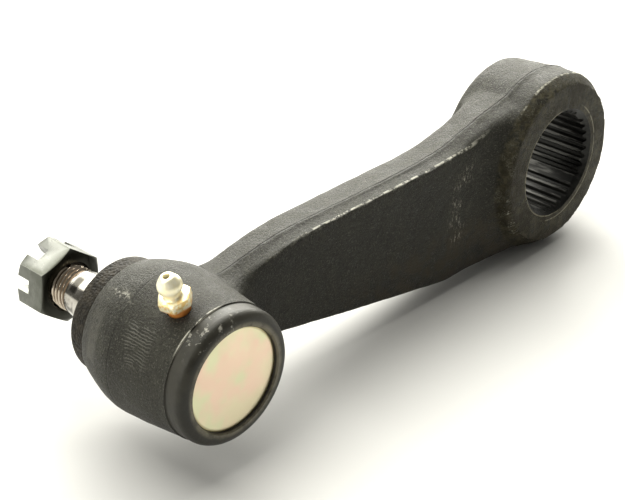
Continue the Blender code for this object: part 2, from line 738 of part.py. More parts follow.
def build_nut():
    """Slotted hexagon nut; the six slots cross in three pairs through the outer end."""
    top = NUT_START + NUT_HEIGHT
    corner_radius = NUT_ACROSS_FLATS / math.sqrt(3)
    flat_radius = NUT_ACROSS_FLATS / 2
    drop = (corner_radius - flat_radius) * 1.15 * math.tan(NUT_CHAMFER_ANGLE)
    nut = extruded("slotted_nut", hexagon(NUT_ACROSS_FLATS, NUT_TURN), NUT_START, top, PARTS, joint_frame, "nut_zinc")
    blank = [
        (0.0, top),
        (flat_radius * 0.96, top),
        (corner_radius + 0.0002, top - drop * 1.4),
        (corner_radius + 0.0002, NUT_START + drop),
        (flat_radius * 0.98, NUT_START),
        (0.0, NUT_START),
    ]
    envelope = turned("nut_envelope", blank, PIECE_STEPS, CUTTERS, joint_frame)
    reach = 0.004
    lead = NUT_BORE_RADIUS + 0.0006
    bore = [
        (0.0, top + reach),
        (lead + reach, top + reach),
        (NUT_BORE_RADIUS, top - 0.0006),
        (NUT_BORE_RADIUS, NUT_START + 0.0006),
        (lead + reach, NUT_START - reach),
        (0.0, NUT_START - reach),
    ]
    bore_cutter = turned("nut_bore", bore, PIECE_STEPS, CUTTERS, joint_frame)
    cut(nut, envelope, "INTERSECT")
    cut(nut, bore_cutter)
    half_width = NUT_SLOT_WIDTH / 2
    length = corner_radius + 0.002
    for index in range(3):
        angle = NUT_TURN + math.pi / 6 + index * math.pi / 3
        along = Vector((math.cos(angle), math.sin(angle)))
        across = Vector((-along.y, along.x))
        outline = []
        for side_along, side_across in ((-1, -1), (1, -1), (1, 1), (-1, 1)):
            corner = along * side_along * length + across * side_across * half_width
            outline.append((corner.x, corner.y))
        slot = extruded(f"nut_slot_{index}", outline, top - NUT_SLOT_DEPTH, top + 0.002, CUTTERS, joint_frame)
        cut(nut, slot)
    settle(nut)


def build_seal():
    """Rubber cap over the throat: its rim sits on the housing, its lip hugs the stud."""
    bottom = HOUSING_BACK + GAP
    top = bottom + SEAL_HEIGHT
    lip = stud_radius_at(top - SEAL_WALL) + GAP
    profile = arc(SEAL_RADIUS - SEAL_EDGE_ROUND * 2, top - SEAL_EDGE_ROUND * 2, SEAL_EDGE_ROUND * 2, 90, 0, 4)
    profile += arc(SEAL_RADIUS - SEAL_EDGE_ROUND, bottom + SEAL_EDGE_ROUND, SEAL_EDGE_ROUND, 0, -90, 3)
    profile += [
        (SEAL_RADIUS - SEAL_WALL, bottom),
        (SEAL_RADIUS - SEAL_WALL, top - SEAL_WALL - 0.001),
        (SEAL_RADIUS - SEAL_WALL - 0.001, top - SEAL_WALL),
        (lip, top - SEAL_WALL),
        (lip, top),
    ]
    seal = turned("dust_seal", profile, PIECE_STEPS, PARTS, joint_frame, "black_rubber", ring=True)
    settle(seal)


def stud_radius_at(height):
    """Largest radius of the stud at or above a height between its shank and its thread."""
    share = min(max((height - TAPER_START) / TAPER_LENGTH, 0.0), 1.0)
    return TAPER_LARGE_RADIUS + (TAPER_SMALL_RADIUS - TAPER_LARGE_RADIUS) * share


def build_grease_fitting():
    """Threaded nipple: hexagon, waist, collar and coned head around a ball-valve bore."""
    hex_top = FITTING_HEX_START + FITTING_HEX_HEIGHT
    hex_corner = FITTING_HEX_ACROSS_FLATS / math.sqrt(3)
    collar_top = FITTING_COLLAR_START + FITTING_COLLAR_HEIGHT
    profile = [
        (0.0, FITTING_TOP),
        (FITTING_TOP_RADIUS, FITTING_TOP),
        (FITTING_TOP_RADIUS + 0.0003, FITTING_TOP - 0.0006),
        (FITTING_COLLAR_RADIUS - 0.0007, collar_top + 0.0004),
        (FITTING_COLLAR_RADIUS, collar_top - 0.0003),
        (FITTING_COLLAR_RADIUS, FITTING_COLLAR_START + 0.0003),
        (FITTING_COLLAR_RADIUS - 0.0003, FITTING_COLLAR_START),
        (FITTING_WAIST_RADIUS, FITTING_COLLAR_START - 0.0004),
        (FITTING_WAIST_RADIUS, hex_top + 0.0003),
        (FITTING_WAIST_RADIUS + 0.0008, hex_top - 0.0004),
        (FITTING_WAIST_RADIUS + 0.0008, FITTING_HEX_START),
        (FITTING_THREAD_RADIUS, FITTING_HEX_START - 0.0002),
        (FITTING_THREAD_RADIUS, -FITTING_THREAD_LENGTH + 0.0004),
        (FITTING_THREAD_RADIUS - 0.0004, -FITTING_THREAD_LENGTH),
        (0.0, -FITTING_THREAD_LENGTH),
    ]
    fitting = turned("grease_fitting", profile, INNER_STEPS, PARTS, grease_frame, "fitting_zinc")
    hexagon_cutter = extruded(
        "fitting_hexagon",
        hexagon(FITTING_HEX_ACROSS_FLATS, math.radians(12)),
        FITTING_HEX_START,
        hex_top,
        CUTTERS,
        grease_frame,
    )
    envelope = turned(
        "fitting_hexagon_envelope",
        [
            (0.0, hex_top),
            (FITTING_HEX_ACROSS_FLATS / 2 * 0.97, hex_top),
            (hex_corner + 0.0001, hex_top - 0.0005),
            (hex_corner + 0.0001, FITTING_HEX_START + 0.0005),
            (FITTING_HEX_ACROSS_FLATS / 2 * 0.97, FITTING_HEX_START),
            (0.0, FITTING_HEX_START),
        ],
        INNER_STEPS,
        CUTTERS,
        grease_frame,
    )
    cut(hexagon_cutter, envelope, "INTERSECT")
    orifice = FITTING_TOP - FITTING_ORIFICE_LENGTH
    passage = turned(
        "fitting_passage",
        [
            (0.0, FITTING_TOP + 0.001),
            (FITTING_ORIFICE_RADIUS, FITTING_TOP + 0.001),
            (FITTING_ORIFICE_RADIUS, orifice),
            (FITTING_BORE_RADIUS, orifice),
            (FITTING_BORE_RADIUS, FITTING_INLET_HEIGHT),
            (FITTING_INLET_RADIUS, FITTING_INLET_HEIGHT),
            (FITTING_INLET_RADIUS, -FITTING_THREAD_LENGTH - 0.001),
            (0.0, -FITTING_THREAD_LENGTH - 0.001),
        ],
        INNER_STEPS,
        CUTTERS,
        grease_frame,
    )
    cut(fitting, hexagon_cutter, "UNION")
    cut(fitting, passage)
    settle(fitting)
    build_check_valve(orifice)


def build_check_valve(orifice):
    """Ball held against the orifice's edge by a small coil spring."""
    below = math.sqrt(CHECK_BALL_RADIUS ** 2 - FITTING_ORIFICE_RADIUS ** 2)
    centre = orifice - below - SMALL_GAP
    mesh = bpy.data.meshes.new("check_ball")
    shape = bmesh.new()
    bmesh.ops.create_uvsphere(shape, u_segments=12, v_segments=8, radius=CHECK_BALL_RADIUS)
    shape.to_mesh(mesh)
    shape.free()
    ball = add_object("check_ball", mesh, PARTS, grease_frame, "bearing_steel")
    ball.location = (0.0, 0.0, centre)
    shade(ball)
    contact = math.sqrt(CHECK_BALL_RADIUS ** 2 - CHECK_SPRING_RADIUS ** 2)
    coil(
        "check_spring",
        CHECK_SPRING_RADIUS,
        CHECK_SPRING_WIRE_RADIUS,
        FITTING_INLET_HEIGHT + SMALL_GAP,
        centre - contact - SMALL_GAP,
        CHECK_SPRING_TURNS,
        8,
        grease_frame,
        "spring_steel",
    )


build_forging()
build_end_cover()
build_race()
build_half_ball()
build_lower_seat()
build_preload_spring()
build_stud()
build_nut()
build_seal()
build_grease_fitting()
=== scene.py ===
"""Looks of a forged steering arm with a splined hub and a greaseable ball joint.

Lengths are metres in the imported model's frame: the origin is the centre of the hub's
front face, +Y runs along the splined bore, and the ball joint lies towards -X.
"""

import json
import math

import bmesh
import bpy
from mathutils import Matrix, Vector, noise


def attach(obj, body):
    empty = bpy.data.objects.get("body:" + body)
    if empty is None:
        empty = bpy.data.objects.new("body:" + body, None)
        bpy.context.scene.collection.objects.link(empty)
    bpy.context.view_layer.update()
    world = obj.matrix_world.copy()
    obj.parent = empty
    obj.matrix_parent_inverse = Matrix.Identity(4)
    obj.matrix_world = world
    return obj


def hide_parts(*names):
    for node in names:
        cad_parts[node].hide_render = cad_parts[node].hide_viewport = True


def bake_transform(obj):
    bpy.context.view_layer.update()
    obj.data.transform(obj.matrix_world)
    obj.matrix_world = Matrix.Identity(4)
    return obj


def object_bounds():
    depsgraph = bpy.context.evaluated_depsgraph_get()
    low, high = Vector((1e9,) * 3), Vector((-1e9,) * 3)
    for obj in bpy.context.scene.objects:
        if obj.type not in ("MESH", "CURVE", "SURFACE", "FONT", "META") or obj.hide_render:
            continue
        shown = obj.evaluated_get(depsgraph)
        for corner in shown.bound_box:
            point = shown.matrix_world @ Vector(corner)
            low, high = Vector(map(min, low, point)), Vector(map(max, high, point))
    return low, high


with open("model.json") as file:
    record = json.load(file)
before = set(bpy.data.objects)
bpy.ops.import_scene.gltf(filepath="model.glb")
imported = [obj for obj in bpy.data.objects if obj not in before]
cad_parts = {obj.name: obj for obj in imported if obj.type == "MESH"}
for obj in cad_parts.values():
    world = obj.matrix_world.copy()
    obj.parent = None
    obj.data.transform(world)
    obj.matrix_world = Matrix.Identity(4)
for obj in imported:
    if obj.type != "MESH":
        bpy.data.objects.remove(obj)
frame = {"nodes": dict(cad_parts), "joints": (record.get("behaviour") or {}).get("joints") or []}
CAD_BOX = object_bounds()

# Axes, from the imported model's joints
JOINTS = {joint["name"]: joint for joint in frame["joints"]}
BALL_CENTRE = Vector(JOINTS["stud_tilt"]["pos_m"])
JOINT_AXIS = Vector(JOINTS["tilt_direction"]["axis"]).normalized()
FITTING_AXIS = -Vector(JOINTS["grease_check"]["axis"]).normalized()
HUB_AXIS = Vector((0.0, 1.0, 0.0))
WIDTH_AXIS = Vector((0.0, 0.0, 1.0))


def axis_frame(origin, side, axis):
    """Placement whose local +Z runs along an axis through origin, and +X along side."""
    rotation = Matrix((side, axis.cross(side), axis)).transposed().to_4x4()
    return Matrix.Translation(origin) @ rotation


HUB_FRAME = axis_frame(Vector((0.0, 0.0, 0.0)), HUB_AXIS.cross(WIDTH_AXIS), HUB_AXIS)
JOINT_FRAME = axis_frame(BALL_CENTRE, JOINT_AXIS.cross(WIDTH_AXIS), JOINT_AXIS)


def extent(node, placement):
    """Lowest height, highest height and largest radius of a node about a placement's axis."""
    inverse = placement.inverted()
    places = [inverse @ vertex.co for vertex in frame["nodes"][node].data.vertices]
    heights = [place.z for place in places]
    return min(heights), max(heights), max(place.xy.length for place in places)


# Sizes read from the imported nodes
COVER_FACE, COVER_BACK, COVER_RADIUS = extent("end_cover", JOINT_FRAME)
STUD_HEAD, STUD_END, STUD_HEAD_RADIUS = extent("ball_stud", JOINT_FRAME)
NUT_START, NUT_TOP, NUT_CORNER = extent("slotted_nut", JOINT_FRAME)
SEAL_BOTTOM, SEAL_TOP, SEAL_RADIUS = extent("dust_seal", JOINT_FRAME)
CAVITY_RADIUS = extent("upper_race", JOINT_FRAME)[2] + 0.0003

# Camera, at the photograph's viewing angle
CAMERA_PLACE = Vector((-0.46994, -0.30268, 0.29020))
CAMERA_HEADING = math.radians(40.29)
CAMERA_DROP = math.radians(30.09)
CAMERA_ROLL = math.radians(0.57)
CAMERA_LENS = 120.96
CAMERA_SENSOR = 36.0

# Lights
WARM = (1.0, 0.985, 0.90)

# Forging
SKIN_VOXEL = 0.00070
SKIN_SMOOTHING = 6
LUMP_HEIGHT = 0.00010
LUMP_SIZE = 0.0060
PARTING_AT_HUB = 0.0105
PARTING_AT_BALL = BALL_CENTRE.y + 0.0045
PARTING_BOW = 0.0018
ARM_FRONT = 0.0065
ARM_CORNER = 0.0034
CRISP_CORNER = 0.0010
CRISP_FROM = -0.126
CRISP_TO = -0.034
CRISP_FADE = 0.012
CRISP_MARGIN = 0.0005
# Depth, from the parting surface, of the painted highlight on the arm's top front edge
TOP_EDGE_HIGHLIGHT_LINE = -0.0057
HOUSING_RADIUS = 0.0209
CHATTER_PITCH = 0.00085
SKIN_GLOSS = 0.22
FACE_GLOSS = 0.10
HUB_THICKNESS = 0.0260
HUB_RADIUS = 0.0273
HUB_FACE_RADIUS = 0.0243
HUB_EDGE_ROUND = 0.0020
HUB_BEVEL_DEPTH = 0.0034
HUB_BEVEL_RADIUS = 0.0270
HUB_BEVEL_REACH = 0.0016
HUB_BEVEL_FROM = -0.0250
HUB_BEVEL_FADE = 0.0080
HOUSING_BACK = 0.0178
TURNED_RADIUS = 0.0186
TURNED_TOP = COVER_FACE + 0.0047
LIP_FRONT = COVER_FACE - 0.0013
LIP_ROUND = 0.0028
MOUTH_RADIUS = 0.0142
THROAT_HEIGHT = 0.0078
THROAT_RADIUS = 0.0107
THROAT_SLOPE = math.tan(math.radians(18.0))

# Splined bore
SPLINE_COUNT = 36
SPLINE_BLANKS = 4
SPLINE_MAJOR_RADIUS = 0.01588
SPLINE_TOOTH_HEIGHT = 0.0008
BORE_CHAMFER = 0.0009

# Ball stud
SHANK_RADIUS = 0.0070
TAPER_START = 0.0220
TAPER_LARGE_RADIUS = 0.00753
TAPER_SMALL_RADIUS = 0.0065
THREAD_START = 0.0385
THREAD_RADIUS = 0.00632
THREAD_DEPTH = 0.00055
THREAD_PITCH = 0.00127

# Slotted nut
NUT_FLATS = 0.01905
NUT_TURN = math.radians(-24.0)
NUT_SLOT_WIDTH = 0.0040
NUT_SLOT_DEPTH = 0.0048

# Grease fitting, heights out from the housing's surface
FITTING_HEIGHT_ON_AXIS = -0.0080
FITTING_SEAT_RADIUS = 0.01977
FITTING_SEAT = BALL_CENTRE + JOINT_AXIS * FITTING_HEIGHT_ON_AXIS + FITTING_AXIS * FITTING_SEAT_RADIUS
FITTING_FRAME = axis_frame(FITTING_SEAT, JOINT_AXIS, FITTING_AXIS)
FITTING_FLATS = 0.00794

ROUND = 128

# Material slots on the forging
TURNED_SLOT = 1
BORE_SLOT = 2

# The housing lies beyond this X
HOUSING_FROM = -0.12


def add_piece(name, mesh, placement=None):
    piece = bpy.data.objects.new(name, mesh)
    bpy.context.scene.collection.objects.link(piece)
    if placement is not None:
        piece.matrix_world = placement
    return piece


def finish_shape(shape, name, placement=None):
    """A new piece from a bmesh, with its faces turned outwards."""
    bmesh.ops.recalc_face_normals(shape, faces=shape.faces)
    mesh = bpy.data.meshes.new(name)
    shape.to_mesh(mesh)
    shape.free()
    return add_piece(name, mesh, placement)


def arc(centre, radius, start, end, steps):
    """Points of an arc in the (radius, height) plane, angles in degrees from the radius direction."""
    points = []
    for index in range(steps + 1):
        angle = math.radians(start + (end - start) * index / steps)
        points.append((centre[0] + radius * math.cos(angle), centre[1] + radius * math.sin(angle)))
    return points


def rounded(points, radius, steps=4):
    """A polyline whose inner corners are replaced by arcs of about that radius."""
    result = [points[0]]
    for before, corner, after in zip(points, points[1:], points[2:]):
        corner = Vector(corner)
        back = Vector(before) - corner
        ahead = Vector(after) - corner
        reach = min(radius, back.length * 0.45, ahead.length * 0.45)
        start = corner + back.normalized() * reach
        end = corner + ahead.normalized() * reach
        for index in range(steps + 1):
            share = index / steps
            point = start * (1 - share) ** 2 + corner * 2 * share * (1 - share) + end * share ** 2
            result.append((point.x, point.y))
    result.append(points[-1])
    return result


def lathe(name, profile, placement, steps=ROUND, closed=False, wobble=None):
    """A solid turned about local Z from (radius, height) points; wobble adds to the radius."""
    shape = bmesh.new()
    rings = []
    for radius, height in profile:
        if radius < 1e-7:
            rings.append([shape.verts.new((0.0, 0.0, height))])
            continue
        ring = []
        for index in range(steps):
            angle = math.tau * index / steps
            reach = radius + (wobble(angle, height) if wobble else 0.0)
            ring.append(shape.verts.new((reach * math.cos(angle), reach * math.sin(angle), height)))
        rings.append(ring)
    pairs = list(zip(rings, rings[1:]))
    if closed:
        pairs.append((rings[-1], rings[0]))
    for low, high in pairs:
        for index in range(steps):
            following = (index + 1) % steps
            corners = [low[index % len(low)], low[following % len(low)]]
            corners += [high[following % len(high)], high[index % len(high)]]
            unique = list(dict.fromkeys(corners))
            if len(unique) > 2:
                shape.faces.new(unique)
    return finish_shape(shape, name, placement)


def prism(name, outline, bottom, top, placement):
    shape = bmesh.new()
    face = shape.faces.new([shape.verts.new((x, y, bottom)) for x, y in outline])
    grown = bmesh.ops.extrude_face_region(shape, geom=[face])
    moved = [item for item in grown["geom"] if isinstance(item, bmesh.types.BMVert)]
    bmesh.ops.translate(shape, verts=moved, vec=(0.0, 0.0, top - bottom))
    return finish_shape(shape, name, placement)


def apply_modifiers(piece):
    bpy.context.view_layer.update()
    evaluated = piece.evaluated_get(bpy.context.evaluated_depsgraph_get())
    mesh = bpy.data.meshes.new_from_object(evaluated)
    piece.modifiers.clear()
    piece.data = mesh


def combine(piece, tools, operation):
    """Boolean of a piece with tools, which are removed afterwards."""
    for tool in tools:
        modifier = piece.modifiers.new(tool.name, "BOOLEAN")
        modifier.operation = operation
        modifier.object = tool
        modifier.solver = "MANIFOLD"
    apply_modifiers(piece)
    for tool in tools:
        bpy.data.objects.remove(tool)


def smooth(piece, angle=35.0):
    piece.data.shade_smooth()
    piece.data.set_sharp_from_angle(angle=math.radians(angle))


def soften_edges(piece, width, angle=35.0):
    bevel = piece.modifiers.new("edges", "BEVEL")
    bevel.width = width
    bevel.segments = 2
    bevel.limit_method = "ANGLE"
    bevel.angle_limit = math.radians(angle)
    bevel.harden_normals = False
    apply_modifiers(piece)


def dress(piece, look, body, *nodes):
    """Gives a finished piece its material and body, and hides the CAD nodes it stands for."""
    piece.data.materials.clear()
    piece.data.materials.append(look)
    if body:
        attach(piece, body)
    if nodes:
        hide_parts(*nodes)


class Look:
    """Builds one procedural material, node by node."""

    def __init__(self, name, slot, roughness, metallic):
        self.material = bpy.data.materials.new(name)
        self.material.use_nodes = True
        self.material["slot"] = slot
        self.tree = self.material.node_tree
        self.shader = self.tree.nodes["Principled BSDF"]
        self.shader.inputs["Metallic"].default_value = metallic
        self.shader.inputs["Roughness"].default_value = roughness
        self.place = self.tree.nodes.new("ShaderNodeTexCoord").outputs["Object"]

    def feed(self, socket, value):
        if isinstance(value, bpy.types.NodeSocket):
            self.tree.links.new(value, socket)
        else:
            socket.default_value = value

    def set(self, name, value):
        self.feed(self.shader.inputs[name], value)

    def math(self, operation, first, second=0.0):
        node = self.tree.nodes.new("ShaderNodeMath")
        node.operation = operation
        self.feed(node.inputs[0], first)
        self.feed(node.inputs[1], second)
        return node.outputs[0]

    def product(self, first, *others):
        for other in others:
            first = self.math("MULTIPLY", first, other)
        return first

    def vector(self, operation, first, second):
        node = self.tree.nodes.new("ShaderNodeVectorMath")
        node.operation = operation
        self.feed(node.inputs[0], first)
        self.feed(node.inputs[1], second)
        return node.outputs["Value" if operation in ("DOT_PRODUCT", "DISTANCE", "LENGTH") else "Vector"]

    def stretched(self, factors):
        return self.vector("MULTIPLY", self.place, factors)

    def noise(self, scale, detail=3.0, roughness=0.55, place=None, distortion=0.0):
        node = self.tree.nodes.new("ShaderNodeTexNoise")
        self.feed(node.inputs["Vector"], self.place if place is None else place)
        node.inputs["Scale"].default_value = scale
        node.inputs["Detail"].default_value = detail
        node.inputs["Roughness"].default_value = roughness
        node.inputs["Distortion"].default_value = distortion
        return node.outputs["Fac"]

    def cells(self, scale):
        node = self.tree.nodes.new("ShaderNodeTexVoronoi")
        self.feed(node.inputs["Vector"], self.place)
        node.inputs["Scale"].default_value = scale
        return node.outputs["Distance"]

    def span(self, value, low, high, start=0.0, end=1.0):
        """Smooth step of a value, from start at low to end at high."""
        node = self.tree.nodes.new("ShaderNodeMapRange")
        node.interpolation_type = "SMOOTHSTEP"
        self.feed(node.inputs["Value"], value)
        node.inputs["From Min"].default_value = low
        node.inputs["From Max"].default_value = high
        node.inputs["To Min"].default_value = start
        node.inputs["To Max"].default_value = end
        return node.outputs["Result"]

    def band(self, value, centre, half_width, soft):
        """1 within half_width of centre, fading to 0 over soft."""
        apart = self.math("ABSOLUTE", self.math("SUBTRACT", value, centre))
        return self.span(apart, half_width, half_width + soft, 1.0, 0.0)

    def mix(self, amount, first, second):
        node = self.tree.nodes.new("ShaderNodeMix")
        node.data_type = "RGBA"
        self.feed(node.inputs[0], amount)
        self.feed(node.inputs[6], first)
        self.feed(node.inputs[7], second)
        return node.outputs[2]

    def blend(self, amount, first, second):
        """Number between first and second."""
        node = self.tree.nodes.new("ShaderNodeMix")
        node.data_type = "FLOAT"
        self.feed(node.inputs[0], amount)
        self.feed(node.inputs[2], first)
        self.feed(node.inputs[3], second)
        return node.outputs[0]

    def edges(self, low, high):
        """1 on convex edges and 0 elsewhere."""
        node = self.tree.nodes.new("ShaderNodeNewGeometry")
        return self.span(node.outputs["Pointiness"], low, high)

    def bump(self, height, distance, strength=1.0):
        node = self.tree.nodes.new("ShaderNodeBump")
        node.inputs["Strength"].default_value = strength
        node.inputs["Distance"].default_value = distance
        self.feed(node.inputs["Height"], height)
        below = self.shader.inputs["Normal"]
        if below.is_linked:
            self.tree.links.new(below.links[0].from_socket, node.inputs["Normal"])
        self.tree.links.new(node.outputs["Normal"], below)

    def about(self, placement):
        """Height along, distance from and angle about a placement's axis."""
        origin = placement.translation
        side, across, axis = (placement.to_3x3().col[index] for index in range(3))
        offset = self.vector("SUBTRACT", self.place, origin)
        height = self.vector("DOT_PRODUCT", offset, axis)
        along_side = self.vector("DOT_PRODUCT", offset, side)
        along_across = self.vector("DOT_PRODUCT", offset, across)
        squares = self.math(
            "ADD", self.math("POWER", along_side, 2.0), self.math("POWER", along_across, 2.0)
        )
        return height, self.math("SQRT", squares), self.math("ARCTAN2", along_across, along_side)


def forged_look():
    """Oiled forging skin: dark olive grey, grainy, paler where it is rubbed, with painted highlights and a
    painted sheen in places.
    """
    look = Look("forged_skin", "forged", 0.5, 0.0)
    cloud = look.noise(55.0, 4.0, 0.6)
    patch = look.noise(230.0, 5.0, 0.7)
    grain = look.noise(1300.0, 4.0, 0.75)
    speck = look.noise(2100.0, 3.0, 0.7, look.vector("ADD", look.place, (0.3, 0.1, 0.2)))
    base = look.mix(
        look.span(cloud, 0.35, 0.65),
        (0.0155, 0.0148, 0.0107, 1),
        (0.0220, 0.0210, 0.0153, 1),
    )
    base = look.mix(look.span(patch, 0.45, 0.72), base, (0.036, 0.035, 0.027, 1))
    base = look.mix(look.product(look.span(speck, 0.54, 0.68), 0.8), base, (0.100, 0.097, 0.078, 1))
    base = look.mix(look.product(look.span(grain, 0.45, 0.36), 0.8), base, (0.006, 0.0058, 0.004, 1))
    grit = look.span(look.noise(2300.0, 4.0, 0.8), 0.46, 0.58)
    worn = look.product(look.edges(0.528, 0.560), grit)
    worn = look.product(worn, look.span(patch, 0.44, 0.58))
    base = look.mix(look.product(worn, 0.7), base, (0.26, 0.25, 0.21, 1))
    split = look.tree.nodes.new("ShaderNodeSeparateXYZ")
    look.feed(split.inputs[0], look.place)
    along, depth, up = split.outputs
    height, radius, angle = look.about(JOINT_FRAME)
    hub_radius, hub_angle = look.about(HUB_FRAME)[1:]

    # Distance behind the dies' parting surface, which bows towards the front
    share = look.math("DIVIDE", along, BALL_CENTRE.x)
    level = look.math("MULTIPLY_ADD", share, PARTING_AT_BALL - PARTING_AT_HUB)
    level.node.inputs[2].default_value = PARTING_AT_HUB
    bow = look.math("SINE", look.product(share, math.pi))
    bow = look.product(bow, bow, PARTING_BOW)
    off = look.math("ADD", look.math("SUBTRACT", depth, level), bow)

    # Thin seam where the dies met, dressed away round the housing
    waver = look.product(look.math("SUBTRACT", look.noise(140.0, 3.0), 0.5), 0.0009)
    seam = look.band(look.math("ADD", off, waver), 0.0, 0.00012, 0.00022)
    seam = look.product(seam, look.span(radius, HOUSING_RADIUS - 0.0010, HOUSING_RADIUS + 0.0012))
    base = look.mix(look.product(seam, 0.85), base, (0.006, 0.0056, 0.004, 1))

    # Painted highlight, bright and broken, on the arm's front edge along the top
    top_edge_highlight = look.band(look.math("SUBTRACT", depth, level), TOP_EDGE_HIGHLIGHT_LINE, 0.00015, 0.00030)
    top_edge_highlight = look.product(top_edge_highlight, look.span(up, 0.0100, 0.0120))
    top_edge_highlight = look.product(top_edge_highlight, look.band(along, -0.068, 0.028, 0.016))
    top_edge_highlight = look.product(top_edge_highlight, look.span(look.noise(300.0, 5.0, 0.8), 0.46, 0.56))
    base = look.mix(look.product(top_edge_highlight, 0.9), base, (0.42, 0.41, 0.35, 1))

    # Lighter, browner tone low on the arm's front face
    low_face_tone = look.product(look.span(up, -0.0020, -0.0130), look.span(off, -0.0020, -0.0035))
    low_face_tone = look.product(low_face_tone, look.span(along, -0.110, -0.060), look.span(patch, 0.38, 0.62))
    base = look.mix(look.product(low_face_tone, 0.85), base, (0.042, 0.034, 0.021, 1))

    # Scratches where the arm's front face meets the hub
    streak = look.span(look.noise(1500.0, 5.0, 0.8, look.stretched((1.0, 1.0, 0.35))), 0.53, 0.62)
    column = look.math("SUBTRACT", along, look.product(up, 0.16))
    zone = look.product(look.band(column, -0.0405, 0.0016, 0.0042), look.band(up, 0.0, 0.0090, 0.0050))
    zone = look.product(zone, look.span(off, -0.0030, -0.0045))
    zone = look.product(zone, look.span(look.noise(240.0, 3.0, 0.6), 0.38, 0.56))
    base = look.mix(look.product(streak, zone, 0.95), base, (0.30, 0.285, 0.23, 1))

    # Rubbed ring and faint arcs on the hub's front face, whose lighter tone is partly a painted sheen
    face = look.span(depth, HUB_BEVEL_DEPTH + 0.0006, HUB_BEVEL_DEPTH - 0.0004)
    face = look.product(face, look.span(hub_radius, HUB_RADIUS + 0.0010, HUB_RADIUS))
    blotch = look.span(look.noise(120.0, 5.0, 0.7), 0.42, 0.60)
    mottle = look.noise(420.0, 5.0, 0.75)
    # Mottled tone on the hub's face, painted lighter than the arm's skin as a painted sheen
    base = look.mix(look.product(face, look.span(mottle, 0.40, 0.62)), base, (0.058, 0.0510, 0.0300, 1))
    base = look.mix(look.product(face, blotch), base, (0.024, 0.0205, 0.0115, 1))
    dull = look.product(face, look.span(look.math("ADD", mottle, blotch), 0.60, 1.40, 0.75, 1.0))
    look.set("Specular IOR Level", look.blend(dull, SKIN_GLOSS, FACE_GLOSS))
    rubbed = look.product(face, look.span(patch, 0.50, 0.64), grit)
    base = look.mix(look.product(rubbed, 0.6), base, (0.13, 0.125, 0.098, 1))
    ring = look.product(
        look.band(hub_radius, 0.0184, 0.00008, 0.00020),
        look.band(hub_angle, 0.5, 1.2, 0.4),
    )
    # Painted highlight on the outer edge of the bore's front chamfer, on the left side only
    chamfer_edge_highlight = look.product(
        look.band(hub_radius, 0.0169, 0.00010, 0.00014),
        look.span(along, 0.004, -0.004),
    )
    # From here the ring mask also carries the painted chamfer highlight
    ring = look.product(look.math("MAXIMUM", ring, chamfer_edge_highlight), look.span(mottle, 0.36, 0.52))
    base = look.mix(look.product(ring, face, 0.85), base, (0.26, 0.24, 0.17, 1))

    # Painted highlight on the hub's front corner in the upper left, and bare-metal specks in the lower left
    part = look.noise(260.0, 4.0, 0.7)
    # Painted highlight along the hub's front corner, upper left
    corner = look.band(depth, HUB_BEVEL_DEPTH, 0.00012, 0.00035)
    corner = look.product(corner, look.band(hub_radius, HUB_BEVEL_RADIUS, 0.0005, 0.0005))
    corner = look.product(corner, look.span(up, 0.0150, 0.0190), look.span(along, -0.0200, -0.0170))
    corner = look.product(corner, look.span(part, 0.47, 0.57), look.span(grain, 0.40, 0.52))
    specks = look.product(
        look.band(hub_radius, 0.0250, 0.0005, 0.0006),
        look.span(depth, 0.0030, 0.0018),
    )
    specks = look.product(specks, look.span(up, 0.002, -0.004), look.span(along, -0.006, -0.014))
    specks = look.product(specks, look.span(part, 0.52, 0.60), grit)
    specks_and_corner_highlight = look.math("MAXIMUM", corner, specks)
    base = look.mix(look.product(specks_and_corner_highlight, 0.9), base, (0.38, 0.37, 0.31, 1))

    # Chatter left by a tool across the housing, short strokes along its axis
    jitter = look.product(look.noise(210.0, 3.0, 0.6), 0.0024)
    slant = look.math("ADD", look.product(angle, HOUSING_RADIUS), jitter)
    stroke = look.math("SINE", look.product(slant, math.tau / CHATTER_PITCH))
    broken = look.span(look.noise(300.0, 3.0, 0.6), 0.37, 0.52)
    window = look.product(
        look.band(height, -0.0040, 0.0025, 0.0030),
        look.band(angle, -2.62, 0.20, 0.14),
    )
    chatter = look.product(look.span(stroke, -0.2, 0.9), broken, window)
    base = look.mix(look.product(chatter, 0.85), base, (0.105, 0.102, 0.085, 1))

    # Painted highlight on part of the edge where the turning meets the skin, at the housing's top
    turning_edge_highlight = look.product(
        look.band(height, TURNED_TOP + 0.0002, 0.00012, 0.00016),
        look.band(angle, -2.0, 0.30, 0.25),
    )
    turning_edge_highlight = look.product(turning_edge_highlight, look.span(look.noise(320.0, 4.0, 0.7), 0.40, 0.50))
    base = look.mix(look.product(turning_edge_highlight, 0.9), base, (0.46, 0.45, 0.39, 1))

    # Paler skin along the housing's back edge, and a painted highlight in broken spots beside the seal
    back = look.product(look.band(height, 0.0115, 0.0014, 0.0016), look.band(angle, -2.85, 0.30, 0.20))
    back = look.product(back, look.span(patch, 0.36, 0.60))
    # Painted highlight: a thin broken line along the housing's top
    housing_highlight_spots = look.product(look.band(height, 0.0085, 0.0035, 0.0020), look.band(angle, -2.13, 0.03, 0.06))
    housing_highlight_spots = look.product(housing_highlight_spots, look.span(look.noise(520.0, 4.0, 0.7), 0.50, 0.62))
    base = look.mix(look.product(back, 0.7), base, (0.070, 0.068, 0.056, 1))
    base = look.mix(look.product(housing_highlight_spots, 0.8), base, (0.24, 0.235, 0.20, 1))
    look.set("Base Color", base)

    rough = look.span(patch, 0.3, 0.7, 0.44, 0.60)
    look.set("Roughness", look.blend(worn, rough, 0.34))
    look.bump(grain, 0.00045, 1.0)
    look.bump(patch, 0.00050, 0.6)
    look.bump(chatter, 0.00040, 0.9)
    look.bump(look.product(seam, -1.0), 0.00030, 0.9)
    return look.material


